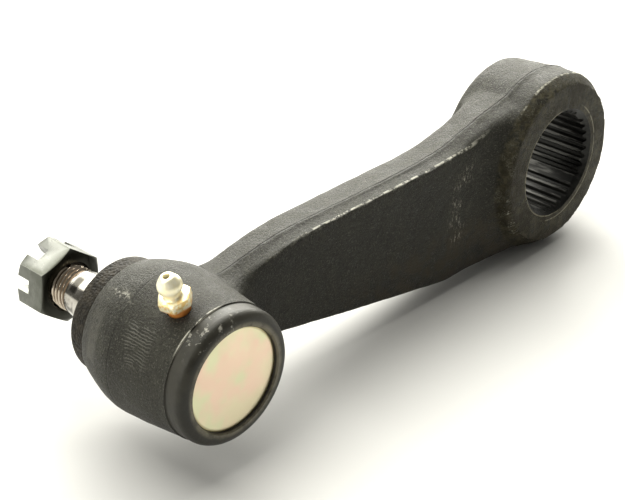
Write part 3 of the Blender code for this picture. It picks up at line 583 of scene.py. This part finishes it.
def turned_look():
    """Machined band, lip and mouth of the housing: smoother, with fine turning lines, brown edges and
    painted highlights near its top.
    """
    look = Look("turned_steel", "forged", 0.4, 0.0)
    look.shader.inputs["Specular IOR Level"].default_value = 0.3
    height, radius, angle = look.about(JOINT_FRAME)
    cloud = look.noise(160.0, 4.0, 0.6)
    lines = look.noise(900.0, 2.0, 0.5, look.stretched((0.2, 3.0, 0.2)))
    base = look.mix(
        look.span(cloud, 0.35, 0.65),
        (0.016, 0.0150, 0.0108, 1),
        (0.030, 0.0280, 0.0205, 1),
    )
    # Painted highlight in broken spots along the top of the turned band
    band_highlight = look.product(look.span(look.noise(420.0, 4.0, 0.7), 0.56, 0.66), 0.8)
    band_highlight = look.product(band_highlight, look.band(angle, -1.95, 0.25, 0.35))
    base = look.mix(band_highlight, base, (0.33, 0.32, 0.28, 1))
    mouth = look.span(radius, MOUTH_RADIUS + 0.0022, MOUTH_RADIUS + 0.0009)
    rim = look.span(look.noise(300.0, 4.0, 0.7), 0.34, 0.60, 0.35, 0.95)
    base = look.mix(look.product(mouth, rim), base, (0.165, 0.150, 0.108, 1))
    # Darker at the foot of the lip's wall, next to the cover
    wall = look.product(
        look.span(radius, MOUTH_RADIUS + 0.0008, MOUTH_RADIUS + 0.0006),
        look.span(height, LIP_FRONT + 0.0003, LIP_FRONT + 0.0007),
    )
    base = look.mix(wall, base, (0.012, 0.010, 0.006, 1))
    # Painted highlight on part of the band's top edge, at the housing's top
    band_edge_highlight = look.band(height, TURNED_TOP, 0.00010, 0.00012)
    band_edge_highlight = look.product(band_edge_highlight, look.span(cloud, 0.30, 0.50), look.band(angle, -2.0, 0.30, 0.25))
    base = look.mix(look.product(band_edge_highlight, 0.8), base, (0.42, 0.40, 0.34, 1))
    look.set("Base Color", base)
    look.set("Roughness", look.span(cloud, 0.3, 0.7, 0.38, 0.52))
    look.bump(lines, 0.00006, 0.6)
    look.bump(look.noise(1300.0, 3.0, 0.6), 0.00008, 0.6)
    return look.material


def bore_look():
    """Broached serrations, painted dark as the bore's shade, with painted highlights along the ridges."""
    look = Look("broached_steel", "forged", 0.3, 0.4)
    radius = look.about(HUB_FRAME)[1]
    streak = look.noise(700.0, 3.0, 0.6, look.stretched((1.0, 0.12, 1.0)))
    look.shader.inputs["Specular IOR Level"].default_value = 0.3
    # Painted highlights on the ridges' crests, over steel painted near black as shade
    crest = look.span(radius, SPLINE_MAJOR_RADIUS - 0.0005, SPLINE_MAJOR_RADIUS - SPLINE_TOOTH_HEIGHT)
    base = look.mix(look.span(streak, 0.35, 0.65), (0.005, 0.005, 0.0045, 1), (0.016, 0.016, 0.014, 1))
    base = look.mix(look.product(crest, look.span(streak, 0.45, 0.62)), base, (0.11, 0.109, 0.103, 1))
    look.set("Base Color", base)
    look.set("Roughness", look.span(streak, 0.3, 0.7, 0.28, 0.48))
    look.bump(streak, 0.00010, 0.7)
    return look.material


def cover_look():
    """Yellow zinc plate: cream with faint pink and green clouds and wipe marks."""
    look = Look("cover_plate", "cover_zinc", 0.34, 0.75)
    radius = look.about(JOINT_FRAME)[1]
    cloud = look.noise(75.0, 3.0, 0.5)
    drift = look.noise(110.0, 2.0, 0.5, look.vector("ADD", look.place, (0.7, 0.2, 0.4)))
    wipe = look.noise(55.0, 4.0, 0.6, distortion=1.5)
    base = look.mix(look.span(cloud, 0.38, 0.62), (0.80, 0.715, 0.50, 1), (0.84, 0.635, 0.49, 1))
    base = look.mix(look.product(look.span(drift, 0.45, 0.68), 0.75), base, (0.69, 0.75, 0.47, 1))
    base = look.mix(look.span(radius, MOUTH_RADIUS - 0.0007, MOUTH_RADIUS), base, (0.42, 0.36, 0.20, 1))
    look.set("Base Color", base)
    look.set("Roughness", look.span(wipe, 0.3, 0.7, 0.30, 0.44))
    look.bump(look.noise(900.0, 2.0, 0.5), 0.00003, 0.4)
    return look.material


def nut_look():
    """Satin zinc, faintly green, with fine scratches and brighter edges."""
    look = Look("nut_plate", "nut_zinc", 0.33, 0.85)
    height = look.about(JOINT_FRAME)[0]
    cloud = look.noise(160.0, 4.0, 0.6)
    brushed = look.noise(900.0, 3.0, 0.6, look.stretched((1.0, 1.0, 0.2)))
    base = look.mix(look.span(cloud, 0.35, 0.65), (0.095, 0.099, 0.084, 1), (0.135, 0.140, 0.124, 1))
    base = look.mix(look.product(look.edges(0.52, 0.58), 0.6), base, (0.26, 0.265, 0.25, 1))
    # Painted shade and dark reflection on the nut's washer face, at the seal end
    base = look.mix(
        look.span(height, NUT_START + 0.0012, NUT_START + 0.0002),
        base,
        (0.022, 0.022, 0.016, 1),
    )
    look.set("Base Color", base)
    look.set("Roughness", look.span(brushed, 0.3, 0.7, 0.26, 0.42))
    look.bump(brushed, 0.00005, 0.5)
    look.bump(look.noise(1800.0, 3.0), 0.00004, 0.4)
    return look.material


def stud_look():
    """Ground taper and rolled thread, with rusty brown lodged between the crests."""
    look = Look("ground_steel", "bright_steel", 0.16, 1.0)
    height, radius = look.about(JOINT_FRAME)[:2]
    rings = look.noise(1100.0, 2.0, 0.5, look.stretched((0.15, 2.5, 0.15)))
    cloud = look.noise(260.0, 4.0, 0.6)
    base = look.mix(look.span(cloud, 0.35, 0.65), (0.33, 0.31, 0.275, 1), (0.46, 0.44, 0.405, 1))
    threaded = look.span(height, THREAD_START - 0.0008, THREAD_START)
    low = look.span(radius, THREAD_RADIUS - THREAD_DEPTH * 0.3, THREAD_RADIUS - THREAD_DEPTH)
    root = look.product(threaded, low)
    base = look.mix(look.product(threaded, 0.45), base, (0.62, 0.50, 0.36, 1))
    base = look.mix(look.product(root, 0.9), base, (0.09, 0.055, 0.03, 1))
    # Painted dark reflection in a broken band across the stud near the taper's end
    patchy_mark = look.product(
        look.band(height, 0.0355, 0.0008, 0.0010),
        look.span(look.noise(150.0, 3.0, 0.6), 0.46, 0.56),
    )
    base = look.mix(look.product(patchy_mark, 0.85), base, (0.03, 0.027, 0.02, 1))
    look.set("Base Color", base)
    look.set(
        "Roughness",
        look.math("ADD", look.span(cloud, 0.3, 0.7, 0.12, 0.22), look.product(root, 0.3)),
    )
    look.bump(rings, 0.00003, 0.5)
    return look.material


def seal_look():
    """Coarse moulded rubber, brown-black with a pebbled, slightly woven grain."""
    look = Look("seal_rubber", "black_rubber", 0.62, 0.0)
    look.shader.inputs["Specular IOR Level"].default_value = 0.2
    coarse = look.noise(420.0, 4.0, 0.65)
    fine = look.noise(1900.0, 4.0, 0.7)
    pebble = look.cells(1300.0)
    base = look.mix(look.span(coarse, 0.35, 0.68), (0.007, 0.0058, 0.004, 1), (0.030, 0.025, 0.018, 1))
    base = look.mix(look.product(look.span(fine, 0.55, 0.72), 0.6), base, (0.085, 0.075, 0.058, 1))
    look.set("Base Color", base)
    look.set("Roughness", look.span(fine, 0.3, 0.7, 0.5, 0.8))
    look.bump(pebble, 0.00034, 1.0)
    look.bump(coarse, 0.00026, 0.8)
    look.bump(fine, 0.00014, 0.8)
    return look.material


def fitting_look():
    """Bright yellow zinc with orange in its hollows."""
    look = Look("fitting_plate", "fitting_zinc", 0.2, 1.0)
    cloud = look.noise(380.0, 3.0, 0.6)
    out = look.vector("DOT_PRODUCT", look.vector("SUBTRACT", look.place, FITTING_SEAT), FITTING_AXIS)
    base = look.mix(look.span(cloud, 0.35, 0.65), (0.92, 0.84, 0.56, 1), (0.95, 0.90, 0.70, 1))
    patchy_mark = look.span(look.noise(700.0, 3.0, 0.6), 0.44, 0.60)
    base = look.mix(look.product(patchy_mark, look.span(out, 0.0060, 0.0040)), base, (0.86, 0.60, 0.22, 1))
    base = look.mix(look.span(out, 0.0026, 0.0014), base, (0.72, 0.27, 0.06, 1))
    look.set("Metallic", look.span(out, 0.0012, 0.0040, 0.35, 0.70))
    look.set("Base Color", base)
    look.set("Roughness", look.span(cloud, 0.3, 0.7, 0.34, 0.46))
    look.bump(look.noise(1500.0, 2.0), 0.00004, 0.5)
    return look.material


def plain_steel_look(name, slot, dark, light, roughness, stretch):
    """Ground or drawn steel for the pieces inside the joint."""
    look = Look(name, slot, roughness, 1.0)
    cloud = look.noise(300.0, 4.0, 0.6)
    lines = look.noise(1200.0, 2.0, 0.5, look.stretched(stretch))
    look.set("Base Color", look.mix(look.span(cloud, 0.35, 0.65), dark, light))
    look.set("Roughness", look.span(lines, 0.3, 0.7, roughness * 0.7, roughness * 1.4))
    look.bump(lines, 0.00004, 0.5)
    return look.material


def spline_outline():
    """Outline of the serrated bore with four blank places."""
    pitch = math.tau / SPLINE_COUNT
    minor = SPLINE_MAJOR_RADIUS - SPLINE_TOOTH_HEIGHT
    every = SPLINE_COUNT // SPLINE_BLANKS
    points = []
    for tooth in range(SPLINE_COUNT):
        middle = pitch * (tooth + 0.5)
        blank = tooth % every == every // 2
        for share in (-0.40, -0.36, -0.30, -0.16, -0.12, 0.0, 0.12, 0.16, 0.30, 0.36, 0.40):
            rise = min(max((0.38 - abs(share)) / 0.22, 0.0), 1.0)
            rise = rise * rise * (3 - 2 * rise)
            radius = minor if blank else minor + SPLINE_TOOTH_HEIGHT * rise
            angle = middle + pitch * share
            points.append((radius * math.cos(angle), radius * math.sin(angle)))
    return points


def chamfer_cone(name, face, inward):
    wide = SPLINE_MAJOR_RADIUS + BORE_CHAMFER
    depth = SPLINE_TOOTH_HEIGHT + BORE_CHAMFER
    beyond = face - inward * 0.001
    end = face + inward * depth
    profile = [(0.0, beyond), (wide + 0.001, beyond), (wide - depth, end), (0.0, end)]
    return lathe(name, profile, HUB_FRAME)


def welded_copy(node):
    """A CAD node's mesh as one closed surface, with its split corners joined."""
    shape = bmesh.new()
    shape.from_mesh(frame["nodes"][node].data)
    bmesh.ops.remove_doubles(shape, verts=shape.verts, dist=1e-6)
    mesh = bpy.data.meshes.new(node)
    shape.to_mesh(mesh)
    shape.free()
    return mesh


def forging_skin():
    """The forging's outside: the CAD solid with its openings filled, remeshed and softened."""
    skin = add_piece("forging", welded_copy("arm_forging"))
    inset = 0.00002
    bore = lathe(
        "bore_fill",
        [(0.0, inset), (0.0185, inset), (0.0185, HUB_THICKNESS - inset), (0.0, HUB_THICKNESS - inset)],
        HUB_FRAME,
        64,
    )
    housing = lathe(
        "housing_fill",
        [
            (0.0, LIP_FRONT + inset),
            (TURNED_RADIUS - 0.0018, LIP_FRONT + inset),
            (TURNED_RADIUS + 0.0004, LIP_FRONT + 0.0018),
            (TURNED_RADIUS + 0.0004, TURNED_TOP),
            (TURNED_RADIUS - 0.0030, HOUSING_BACK - inset),
            (0.0, HOUSING_BACK - inset),
        ],
        JOINT_FRAME,
        96,
    )
    hole = lathe(
        "hole_fill",
        [(0.0, -0.0060), (0.0038, -0.0060), (0.0038, -0.0003), (0.0, -0.0003)],
        FITTING_FRAME,
        32,
    )
    combine(skin, [bore, housing, hole], "UNION")
    remesh = skin.modifiers.new("skin", "REMESH")
    remesh.mode = "VOXEL"
    remesh.voxel_size = SKIN_VOXEL
    soften = skin.modifiers.new("soften", "SMOOTH")
    soften.factor = 0.5
    soften.iterations = SKIN_SMOOTHING
    apply_modifiers(skin)
    return skin


def arm_middle(x):
    """Y of the arm's middle between the two ends."""
    return PARTING_AT_HUB + (PARTING_AT_BALL - PARTING_AT_HUB) * x / BALL_CENTRE.x


def arm_corner(normal_y, normal_z):
    """How far a rounded corner's point goes out, for a normal across the arm, to make it crisp."""
    flat = max(abs(normal_y), abs(normal_z))
    lean = min(abs(normal_y), abs(normal_z))
    square = ARM_CORNER / flat
    inner = ARM_CORNER - CRISP_CORNER
    if square * lean <= inner:
        return square - ARM_CORNER
    reach = inner * (flat + lean)
    rounding = reach * reach - 2 * inner * inner + CRISP_CORNER * CRISP_CORNER
    return reach + math.sqrt(rounding) - ARM_CORNER


def sharpen_arm(skin):
    """Draws the arm's front corners out to the crisp edges that the dies leave."""
    normals = [vertex.normal.copy() for vertex in skin.data.vertices]
    for vertex, normal in zip(skin.data.vertices, normals):
        place = vertex.co
        along = min((place.x - CRISP_FROM) / CRISP_FADE, (CRISP_TO - place.x) / CRISP_FADE, 1.0)
        ahead = arm_middle(place.x) - ARM_FRONT + ARM_CORNER - place.y
        if along <= 0.0 or ahead <= 0.0:
            continue
        across = math.hypot(normal.y, normal.z)
        if across < 0.5 or normal.y > 0.0:
            continue
        side, rise = normal.y / across, normal.z / across
        out = arm_corner(side, rise) * along * along * (3 - 2 * along)
        out *= min(ahead / CRISP_MARGIN, 1.0)
        vertex.co = place + Vector((0.0, side, rise)) * out


def hub_side(y):
    """Radius of the CAD hub's side at a depth behind the front face, up to the parting line."""
    if y < HUB_EDGE_ROUND:
        lean = HUB_EDGE_ROUND - y
        return HUB_FACE_RADIUS + math.sqrt(max(HUB_EDGE_ROUND ** 2 - lean ** 2, 0.0))
    share = (y - HUB_EDGE_ROUND) / (PARTING_AT_HUB - HUB_EDGE_ROUND)
    return HUB_FACE_RADIUS + HUB_EDGE_ROUND + (HUB_RADIUS - HUB_FACE_RADIUS - HUB_EDGE_ROUND) * share


def hub_bevel(y):
    """Radius of the bevelled hub side, as forged."""
    if y < HUB_BEVEL_DEPTH:
        return HUB_FACE_RADIUS + (HUB_BEVEL_RADIUS - HUB_FACE_RADIUS) * y / HUB_BEVEL_DEPTH
    share = (y - HUB_BEVEL_DEPTH) / (PARTING_AT_HUB - HUB_BEVEL_DEPTH)
    return HUB_BEVEL_RADIUS + (HUB_RADIUS - HUB_BEVEL_RADIUS) * share


def bevel_hub(skin):
    """Draws the hub's rounded front edge into a bevel with a crisp outer edge."""
    for vertex in skin.data.vertices:
        place = vertex.co
        radius = math.hypot(place.x, place.z)
        if not 0.0002 < place.y < PARTING_AT_HUB - 0.0012 or radius < HUB_FACE_RADIUS:
            continue
        apart = abs(radius - hub_side(place.y))
        hold = min(max((HUB_BEVEL_REACH - apart) / (HUB_BEVEL_REACH * 0.5), 0.0), 1.0)
        hold *= min(max((place.x - HUB_BEVEL_FROM) / HUB_BEVEL_FADE, 0.0), 1.0)
        hold = hold * hold * (3 - 2 * hold)
        out = (hub_bevel(place.y) - hub_side(place.y)) * hold
        vertex.co = place + Vector((place.x, 0.0, place.z)) * (out / radius)


def roughen(skin):
    """Low lumps of the forging skin, kept off the machined faces."""
    joint = JOINT_FRAME.inverted()
    normals = [vertex.normal.copy() for vertex in skin.data.vertices]
    for vertex, normal in zip(skin.data.vertices, normals):
        place = vertex.co.copy()
        if place.x < HOUSING_FROM and (joint @ place).z < TURNED_TOP + 0.0005:
            continue
        lump = noise.noise(place / LUMP_SIZE) + 0.5 * noise.noise(place / (LUMP_SIZE * 0.4))
        vertex.co = place + normal * lump * LUMP_HEIGHT


def build_forging(looks):
    skin = forging_skin()
    sharpen_arm(skin)
    bevel_hub(skin)
    roughen(skin)
    turning = lathe(
        "turning",
        [
            (TURNED_RADIUS + 0.006, TURNED_TOP),
            (TURNED_RADIUS + 0.0003, TURNED_TOP),
            (TURNED_RADIUS, TURNED_TOP - 0.0002),
            *arc((TURNED_RADIUS - LIP_ROUND, LIP_FRONT + LIP_ROUND), LIP_ROUND, 0, -90, 8),
            (0.0, LIP_FRONT),
            (0.0, LIP_FRONT - 0.004),
            (TURNED_RADIUS + 0.006, LIP_FRONT - 0.004),
        ],
        JOINT_FRAME,
        closed=True,
    )
    throat_back = THROAT_RADIUS + (HOUSING_BACK + 0.0003 - THROAT_HEIGHT) * THROAT_SLOPE
    cavity = lathe(
        "cavity",
        [
            (0.0, HOUSING_BACK + 0.003),
            (throat_back + 0.003 * THROAT_SLOPE, HOUSING_BACK + 0.003),
            (THROAT_RADIUS, THROAT_HEIGHT),
            (CAVITY_RADIUS, THROAT_HEIGHT),
            (CAVITY_RADIUS, COVER_BACK + 0.0002),
            (COVER_RADIUS + 0.0002, COVER_BACK + 0.0002),
            (COVER_RADIUS + 0.0002, COVER_FACE - 0.0002),
            (MOUTH_RADIUS + 0.0001, COVER_FACE - 0.0002),
            (MOUTH_RADIUS + 0.0001, COVER_FACE - 0.0005),
            (MOUTH_RADIUS + 0.0007, LIP_FRONT - 0.0001),
            (MOUTH_RADIUS + 0.0007, LIP_FRONT - 0.002),
            (0.0, LIP_FRONT - 0.002),
        ],
        JOINT_FRAME,
    )
    back = lathe(
        "back_facing",
        [
            (0.0, HOUSING_BACK),
            (0.0176, HOUSING_BACK),
            (0.0192, HOUSING_BACK - 0.0003),
            (0.0192, HOUSING_BACK + 0.004),
            (0.0, HOUSING_BACK + 0.004),
        ],
        JOINT_FRAME,
    )
    bore = prism("spline_cutter", spline_outline(), -0.01, HUB_THICKNESS + 0.01, HUB_FRAME)
    hole = lathe(
        "fitting_hole",
        [(0.0, 0.004), (0.0033, 0.004), (0.0033, -0.0065), (0.0, -0.0065)],
        FITTING_FRAME,
        48,
    )
    cones = [chamfer_cone("front_chamfer", 0.0, 1), chamfer_cone("rear_chamfer", HUB_THICKNESS, -1)]
    combine(skin, [turning, back, cavity, hole, bore, *cones], "DIFFERENCE")
    dress(skin, looks["forged"], "arm", "arm_forging")
    skin.data.materials.append(looks["turned"])
    skin.data.materials.append(looks["bore"])
    paint_machined_faces(skin.data)
    smooth(skin, 40.0)


def paint_machined_faces(mesh):
    """Bore look inside the hub, and turned look on the housing's lip, band and cavity."""
    joint = JOINT_FRAME.inverted()
    from_axis = [math.hypot(vertex.co.x, vertex.co.z) for vertex in mesh.vertices]
    bore_radius = SPLINE_MAJOR_RADIUS + BORE_CHAMFER + 0.0001
    for face in mesh.polygons:
        local = joint @ face.center
        if max(from_axis[index] for index in face.vertices) < bore_radius:
            face.material_index = BORE_SLOT
        elif local.z < TURNED_TOP + 0.0001 and local.xy.length < TURNED_RADIUS + 0.0002:
            face.material_index = TURNED_SLOT
        elif local.xy.length < CAVITY_RADIUS + 0.0004 and local.z < HOUSING_BACK - 0.0002:
            face.material_index = TURNED_SLOT


def build_cover(looks):
    edge = 0.0004
    dish = COVER_BACK - 0.0003
    profile = [(0.0, dish), (MOUTH_RADIUS * 0.75, dish), (MOUTH_RADIUS * 0.85, COVER_BACK)]
    profile += arc((COVER_RADIUS - edge, COVER_BACK - edge), edge, 90, 0, 3)
    profile += arc((COVER_RADIUS - edge, COVER_FACE + edge), edge, 0, -90, 3)
    profile += [(MOUTH_RADIUS - 0.0003, COVER_FACE), (MOUTH_RADIUS - 0.0010, COVER_FACE + 0.00005)]
    profile += [(MOUTH_RADIUS * share, COVER_FACE + 0.00012) for share in (0.8, 0.5, 0.2)]
    profile.append((0.0, COVER_FACE + 0.00012))
    cover = lathe("cover_plate", profile, None)
    cover.data.transform(JOINT_FRAME)
    smooth(cover)
    dress(cover, looks["cover"], "arm", "end_cover")


def stud_radius(height):
    if height >= THREAD_START:
        return THREAD_RADIUS - THREAD_DEPTH
    if height >= TAPER_START:
        share = (height - TAPER_START) / (THREAD_START - TAPER_START)
        return TAPER_LARGE_RADIUS + (TAPER_SMALL_RADIUS - TAPER_LARGE_RADIUS) * share
    return SHANK_RADIUS


def thread_rise(angle, height):
    """Height of the rolled thread's crest over its root, fading in at the thread's start."""
    if height < THREAD_START + 0.0002 or height > STUD_END - 0.0009:
        return 0.0
    turns = (height / THREAD_PITCH - angle / math.tau) % 1.0
    crest = min(max((0.5 - abs(turns - 0.5)) * 2.6 - 0.3, 0.0), 1.0)
    start = min((height - THREAD_START) / THREAD_PITCH, 1.0)
    end = min((STUD_END - 0.0009 - height) / (THREAD_PITCH * 0.5), 1.0)
    return THREAD_DEPTH * crest * start * end


def build_stud(looks):
    head_top = -0.0013
    head_edge = -math.sqrt(max((-STUD_HEAD) ** 2 - STUD_HEAD_RADIUS ** 2, 0.0))
    profile = [(0.0, STUD_END), (THREAD_RADIUS - THREAD_DEPTH - 0.0009, STUD_END)]
    rows = 96
    for row in range(rows + 1):
        height = STUD_END - 0.0009 - (STUD_END - 0.0009 - THREAD_START) * row / rows
        profile.append((THREAD_RADIUS - THREAD_DEPTH, height))
    profile.append((THREAD_RADIUS - THREAD_DEPTH, THREAD_START - 0.0001))
    profile.append((TAPER_SMALL_RADIUS - 0.0001, THREAD_START - 0.0004))
    for row in range(1, 9):
        height = THREAD_START - 0.0005 - (THREAD_START - TAPER_START - 0.0005) * row / 8
        profile.append((stud_radius(height), height))
    profile += [(SHANK_RADIUS, TAPER_START - 0.0006), (SHANK_RADIUS, head_top + 0.0004)]
    profile.append((SHANK_RADIUS + 0.0004, head_top))
    profile += [(STUD_HEAD_RADIUS - 0.0004, head_top), (STUD_HEAD_RADIUS, head_top - 0.0004)]
    start = math.degrees(math.atan2(head_edge, STUD_HEAD_RADIUS))
    profile += arc((0.0, 0.0), -STUD_HEAD, start, -88, 12)
    profile.append((0.0, STUD_HEAD))
    stud = lathe("tapered_stud", profile, None, 96, wobble=thread_rise)
    stud.data.transform(JOINT_FRAME)
    hole_place = axis_frame(JOINT_FRAME @ Vector((0.0, 0.0, STUD_END - 0.0038)), JOINT_AXIS, WIDTH_AXIS)
    hole = lathe(
        "cotter_hole",
        [(0.0, 0.009), (0.0017, 0.009), (0.0017, -0.009), (0.0, -0.009)],
        hole_place,
        32,
    )
    combine(stud, [hole], "DIFFERENCE")
    smooth(stud, 50.0)
    dress(stud, looks["stud"], "stud", "ball_stud")


def hexagon(flats, turn):
    corner = flats / math.sqrt(3)
    return [
        (corner * math.cos(turn + index * math.pi / 3), corner * math.sin(turn + index * math.pi / 3))
        for index in range(6)
    ]


def build_nut(looks):
    corner = NUT_FLATS / math.sqrt(3)
    flat = NUT_FLATS / 2
    nut = prism("castle_nut", hexagon(NUT_FLATS, NUT_TURN), NUT_START, NUT_TOP, None)
    rise = (corner - flat * 0.96) * math.tan(math.radians(32))
    envelope = lathe(
        "nut_envelope",
        [
            (0.0, NUT_TOP),
            (flat * 0.96, NUT_TOP),
            (corner + 0.0002, NUT_TOP - rise * 1.1),
            (corner + 0.0002, NUT_START + rise),
            (flat * 0.97, NUT_START),
            (0.0, NUT_START),
        ],
        None,
    )
    combine(nut, [envelope], "INTERSECT")
    bore_radius = THREAD_RADIUS + 0.00006
    lead = bore_radius + 0.0007
    bore = lathe(
        "nut_bore",
        [
            (0.0, NUT_TOP + 0.002),
            (lead + 0.002, NUT_TOP + 0.002),
            (bore_radius, NUT_TOP - 0.0007),
            (bore_radius, NUT_START + 0.0007),
            (lead + 0.002, NUT_START - 0.002),
            (0.0, NUT_START - 0.002),
        ],
        None,
        96,
    )
    slots = []
    for index in range(3):
        angle = NUT_TURN + math.pi / 6 + index * math.pi / 3
        along = Vector((math.cos(angle), math.sin(angle)))
        across = Vector((-along.y, along.x))
        outline = []
        for end, side in ((-1, -1), (1, -1), (1, 1), (-1, 1)):
            point = along * end * (corner + 0.002) + across * side * NUT_SLOT_WIDTH / 2
            outline.append((point.x, point.y))
        slots.append(
            prism(f"nut_slot_{index}", outline, NUT_TOP - NUT_SLOT_DEPTH, NUT_TOP + 0.002, None),
        )
    combine(nut, [bore, *slots], "DIFFERENCE")
    nut.data.transform(JOINT_FRAME)
    soften_edges(nut, 0.00018)
    smooth(nut)
    dress(nut, looks["nut"], "nut", "slotted_nut")


def build_seal(looks):
    wall = 0.0024
    lip = stud_radius(SEAL_TOP - wall) + 0.0003
    profile = arc((SEAL_RADIUS - 0.0016, SEAL_TOP - 0.0016), 0.0016, 90, 0, 8)
    profile += [(SEAL_RADIUS, SEAL_TOP - 0.0025), (SEAL_RADIUS, SEAL_BOTTOM + 0.0016)]
    profile += arc((SEAL_RADIUS - 0.0010, SEAL_BOTTOM + 0.0010), 0.0010, 0, -90, 6)
    profile += [(SEAL_RADIUS - wall, SEAL_BOTTOM), (SEAL_RADIUS - wall, SEAL_TOP - wall - 0.0012)]
    profile += [(SEAL_RADIUS - wall - 0.0010, SEAL_TOP - wall)]
    profile += [(lip + 0.0004, SEAL_TOP - wall), (lip, SEAL_TOP - wall + 0.0004), (lip, SEAL_TOP - 0.0004)]
    profile += [(lip + 0.0004, SEAL_TOP), (lip + 0.0030, SEAL_TOP - 0.0001)]

    def wobble(angle, height):
        place = Vector((math.cos(angle), math.sin(angle), height * 200.0)) * 2.5
        return 0.00006 * noise.noise(place)

    seal = lathe("boot_seal", profile, None, closed=True, wobble=wobble)
    seal.data.transform(JOINT_FRAME)
    smooth(seal, 50.0)
    dress(seal, looks["seal"], None, "dust_seal")
    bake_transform(seal)


def build_fitting(looks):
    outside = [
        (0.0, 0.0112),
        (0.0013, 0.0112),
        (0.0019, 0.0109),
        (0.0024, 0.0101),
        (0.0030, 0.0092),
        (0.00325, 0.0084),
        (0.00325, 0.0072),
        (0.0028, 0.0066),
        (0.0022, 0.0062),
        (0.0022, 0.0051),
        (0.0031, 0.0045),
        (0.0031, 0.0017),
        (0.0030, 0.0015),
        (0.0030, -0.0032),
        (0.0026, -0.0036),
        (0.0, -0.0036),
    ]
    fitting = lathe("grease_nipple", rounded(outside, 0.0004), None, 64)
    corner = FITTING_FLATS / math.sqrt(3)
    flat = FITTING_FLATS / 2
    hex_part = prism("fitting_hexagon", hexagon(FITTING_FLATS, math.radians(12)), 0.0017, 0.0047, None)
    envelope = lathe(
        "fitting_envelope",
        [
            (0.0, 0.0047),
            (flat * 0.92, 0.0047),
            (corner + 0.0001, 0.0040),
            (corner + 0.0001, 0.0022),
            (flat * 0.95, 0.0017),
            (0.0, 0.0017),
        ],
        None,
        64,
    )
    combine(hex_part, [envelope], "INTERSECT")
    combine(fitting, [hex_part], "UNION")
    passage = lathe(
        "fitting_passage",
        [
            (0.0, 0.0122),
            (0.0013, 0.0122),
            (0.00085, 0.0108),
            (0.00085, 0.0098),
            (0.0014, 0.0098),
            (0.0014, 0.0012),
            (0.0008, 0.0012),
            (0.0008, -0.0046),
            (0.0, -0.0046),
        ],
        None,
        48,
    )
    combine(fitting, [passage], "DIFFERENCE")
    fitting.data.transform(FITTING_FRAME)
    soften_edges(fitting, 0.00008)
    smooth(fitting)
    dress(fitting, looks["fitting"], "arm", "grease_fitting")


def dress_inner_nodes(looks):
    """Pieces sealed inside the joint keep their CAD shapes."""
    steel = ("upper_race", "half_ball", "lower_seat", "check_ball")
    springs = ("preload_spring", "check_spring")
    for names, look in ((steel, looks["bearing"]), (springs, looks["spring"])):
        for name in names:
            node = frame["nodes"][name]
            node.data.materials.clear()
            node.data.materials.append(look)


def build_stage():
    low = CAD_BOX[0][2]
    size = 3.0
    shape = bmesh.new()
    bmesh.ops.create_grid(shape, x_segments=1, y_segments=1, size=size)
    floor = finish_shape(shape, "floor", Matrix.Translation((0.0, 0.0, low - 0.0004)))
    look = Look("pale_floor", "floor", 0.9, 0.0)
    grain = look.noise(3.0, 2.0)
    look.set("Base Color", look.mix(grain, (0.56, 0.56, 0.56, 1), (0.58, 0.58, 0.58, 1)))
    look.shader.inputs["Specular IOR Level"].default_value = 0.0
    floor.data.materials.append(look.material)


def add_light(name, place, target, size, power):
    light = bpy.data.lights.new(name, "AREA")
    light.shape = "RECTANGLE"
    light.size, light.size_y = size
    light.energy = power
    light.color = WARM
    lamp = bpy.data.objects.new(name, light)
    bpy.context.scene.collection.objects.link(lamp)
    lamp.location = place
    aim = Vector(target) - Vector(place)
    lamp.rotation_mode = "QUATERNION"
    lamp.rotation_quaternion = aim.to_track_quat("-Z", "Y")


def build_lights():
    world = bpy.data.worlds.new("studio")
    bpy.context.scene.world = world
    world.use_nodes = True
    background = world.node_tree.nodes["Background"]
    background.inputs["Color"].default_value = (1.0, 0.98, 0.90, 1.0)
    background.inputs["Strength"].default_value = 0.20
    middle = (-0.08, 0.01, 0.0)
    add_light("overhead", (0.00, 0.50, 1.05), middle, (1.4, 1.4), 28.0)
    add_light("back", (0.80, 0.68, 0.62), middle, (1.4, 1.0), 46.0)
    add_light("left", (-1.00, 0.35, 0.45), middle, (0.8, 0.8), 6.0)


def build_camera():
    camera = bpy.data.cameras.new("camera")
    camera.lens = CAMERA_LENS
    camera.sensor_width = CAMERA_SENSOR
    camera.clip_start = 0.01
    eye = bpy.data.objects.new("camera", camera)
    bpy.context.scene.collection.objects.link(eye)
    level = math.cos(CAMERA_DROP)
    east = level * math.cos(CAMERA_HEADING)
    north = level * math.sin(CAMERA_HEADING)
    ahead = Vector((east, north, -math.sin(CAMERA_DROP)))
    eye.location = CAMERA_PLACE
    eye.rotation_mode = "QUATERNION"
    roll = Matrix.Rotation(CAMERA_ROLL, 3, "Z").to_quaternion()
    eye.rotation_quaternion = ahead.to_track_quat("-Z", "Y") @ roll
    bpy.context.scene.camera = eye


LOOKS = {
    "forged": forged_look(),
    "turned": turned_look(),
    "bore": bore_look(),
    "cover": cover_look(),
    "nut": nut_look(),
    "stud": stud_look(),
    "seal": seal_look(),
    "fitting": fitting_look(),
    "bearing": plain_steel_look(
        "bearing_steel", "bearing_steel", (0.36, 0.36, 0.37, 1), (0.50, 0.50, 0.51, 1), 0.2, (0.2, 2.5, 0.2)
    ),
    "spring": plain_steel_look(
        "spring_steel", "spring_steel", (0.20, 0.21, 0.23, 1), (0.34, 0.35, 0.37, 1), 0.3, (1.0, 1.0, 1.0)
    ),
}

build_camera()
build_forging(LOOKS)
build_cover(LOOKS)
build_stud(LOOKS)
build_nut(LOOKS)
build_seal(LOOKS)
build_fitting(LOOKS)
dress_inner_nodes(LOOKS)
build_stage()
build_lights()
bpy.context.scene.view_settings.view_transform = "Standard"
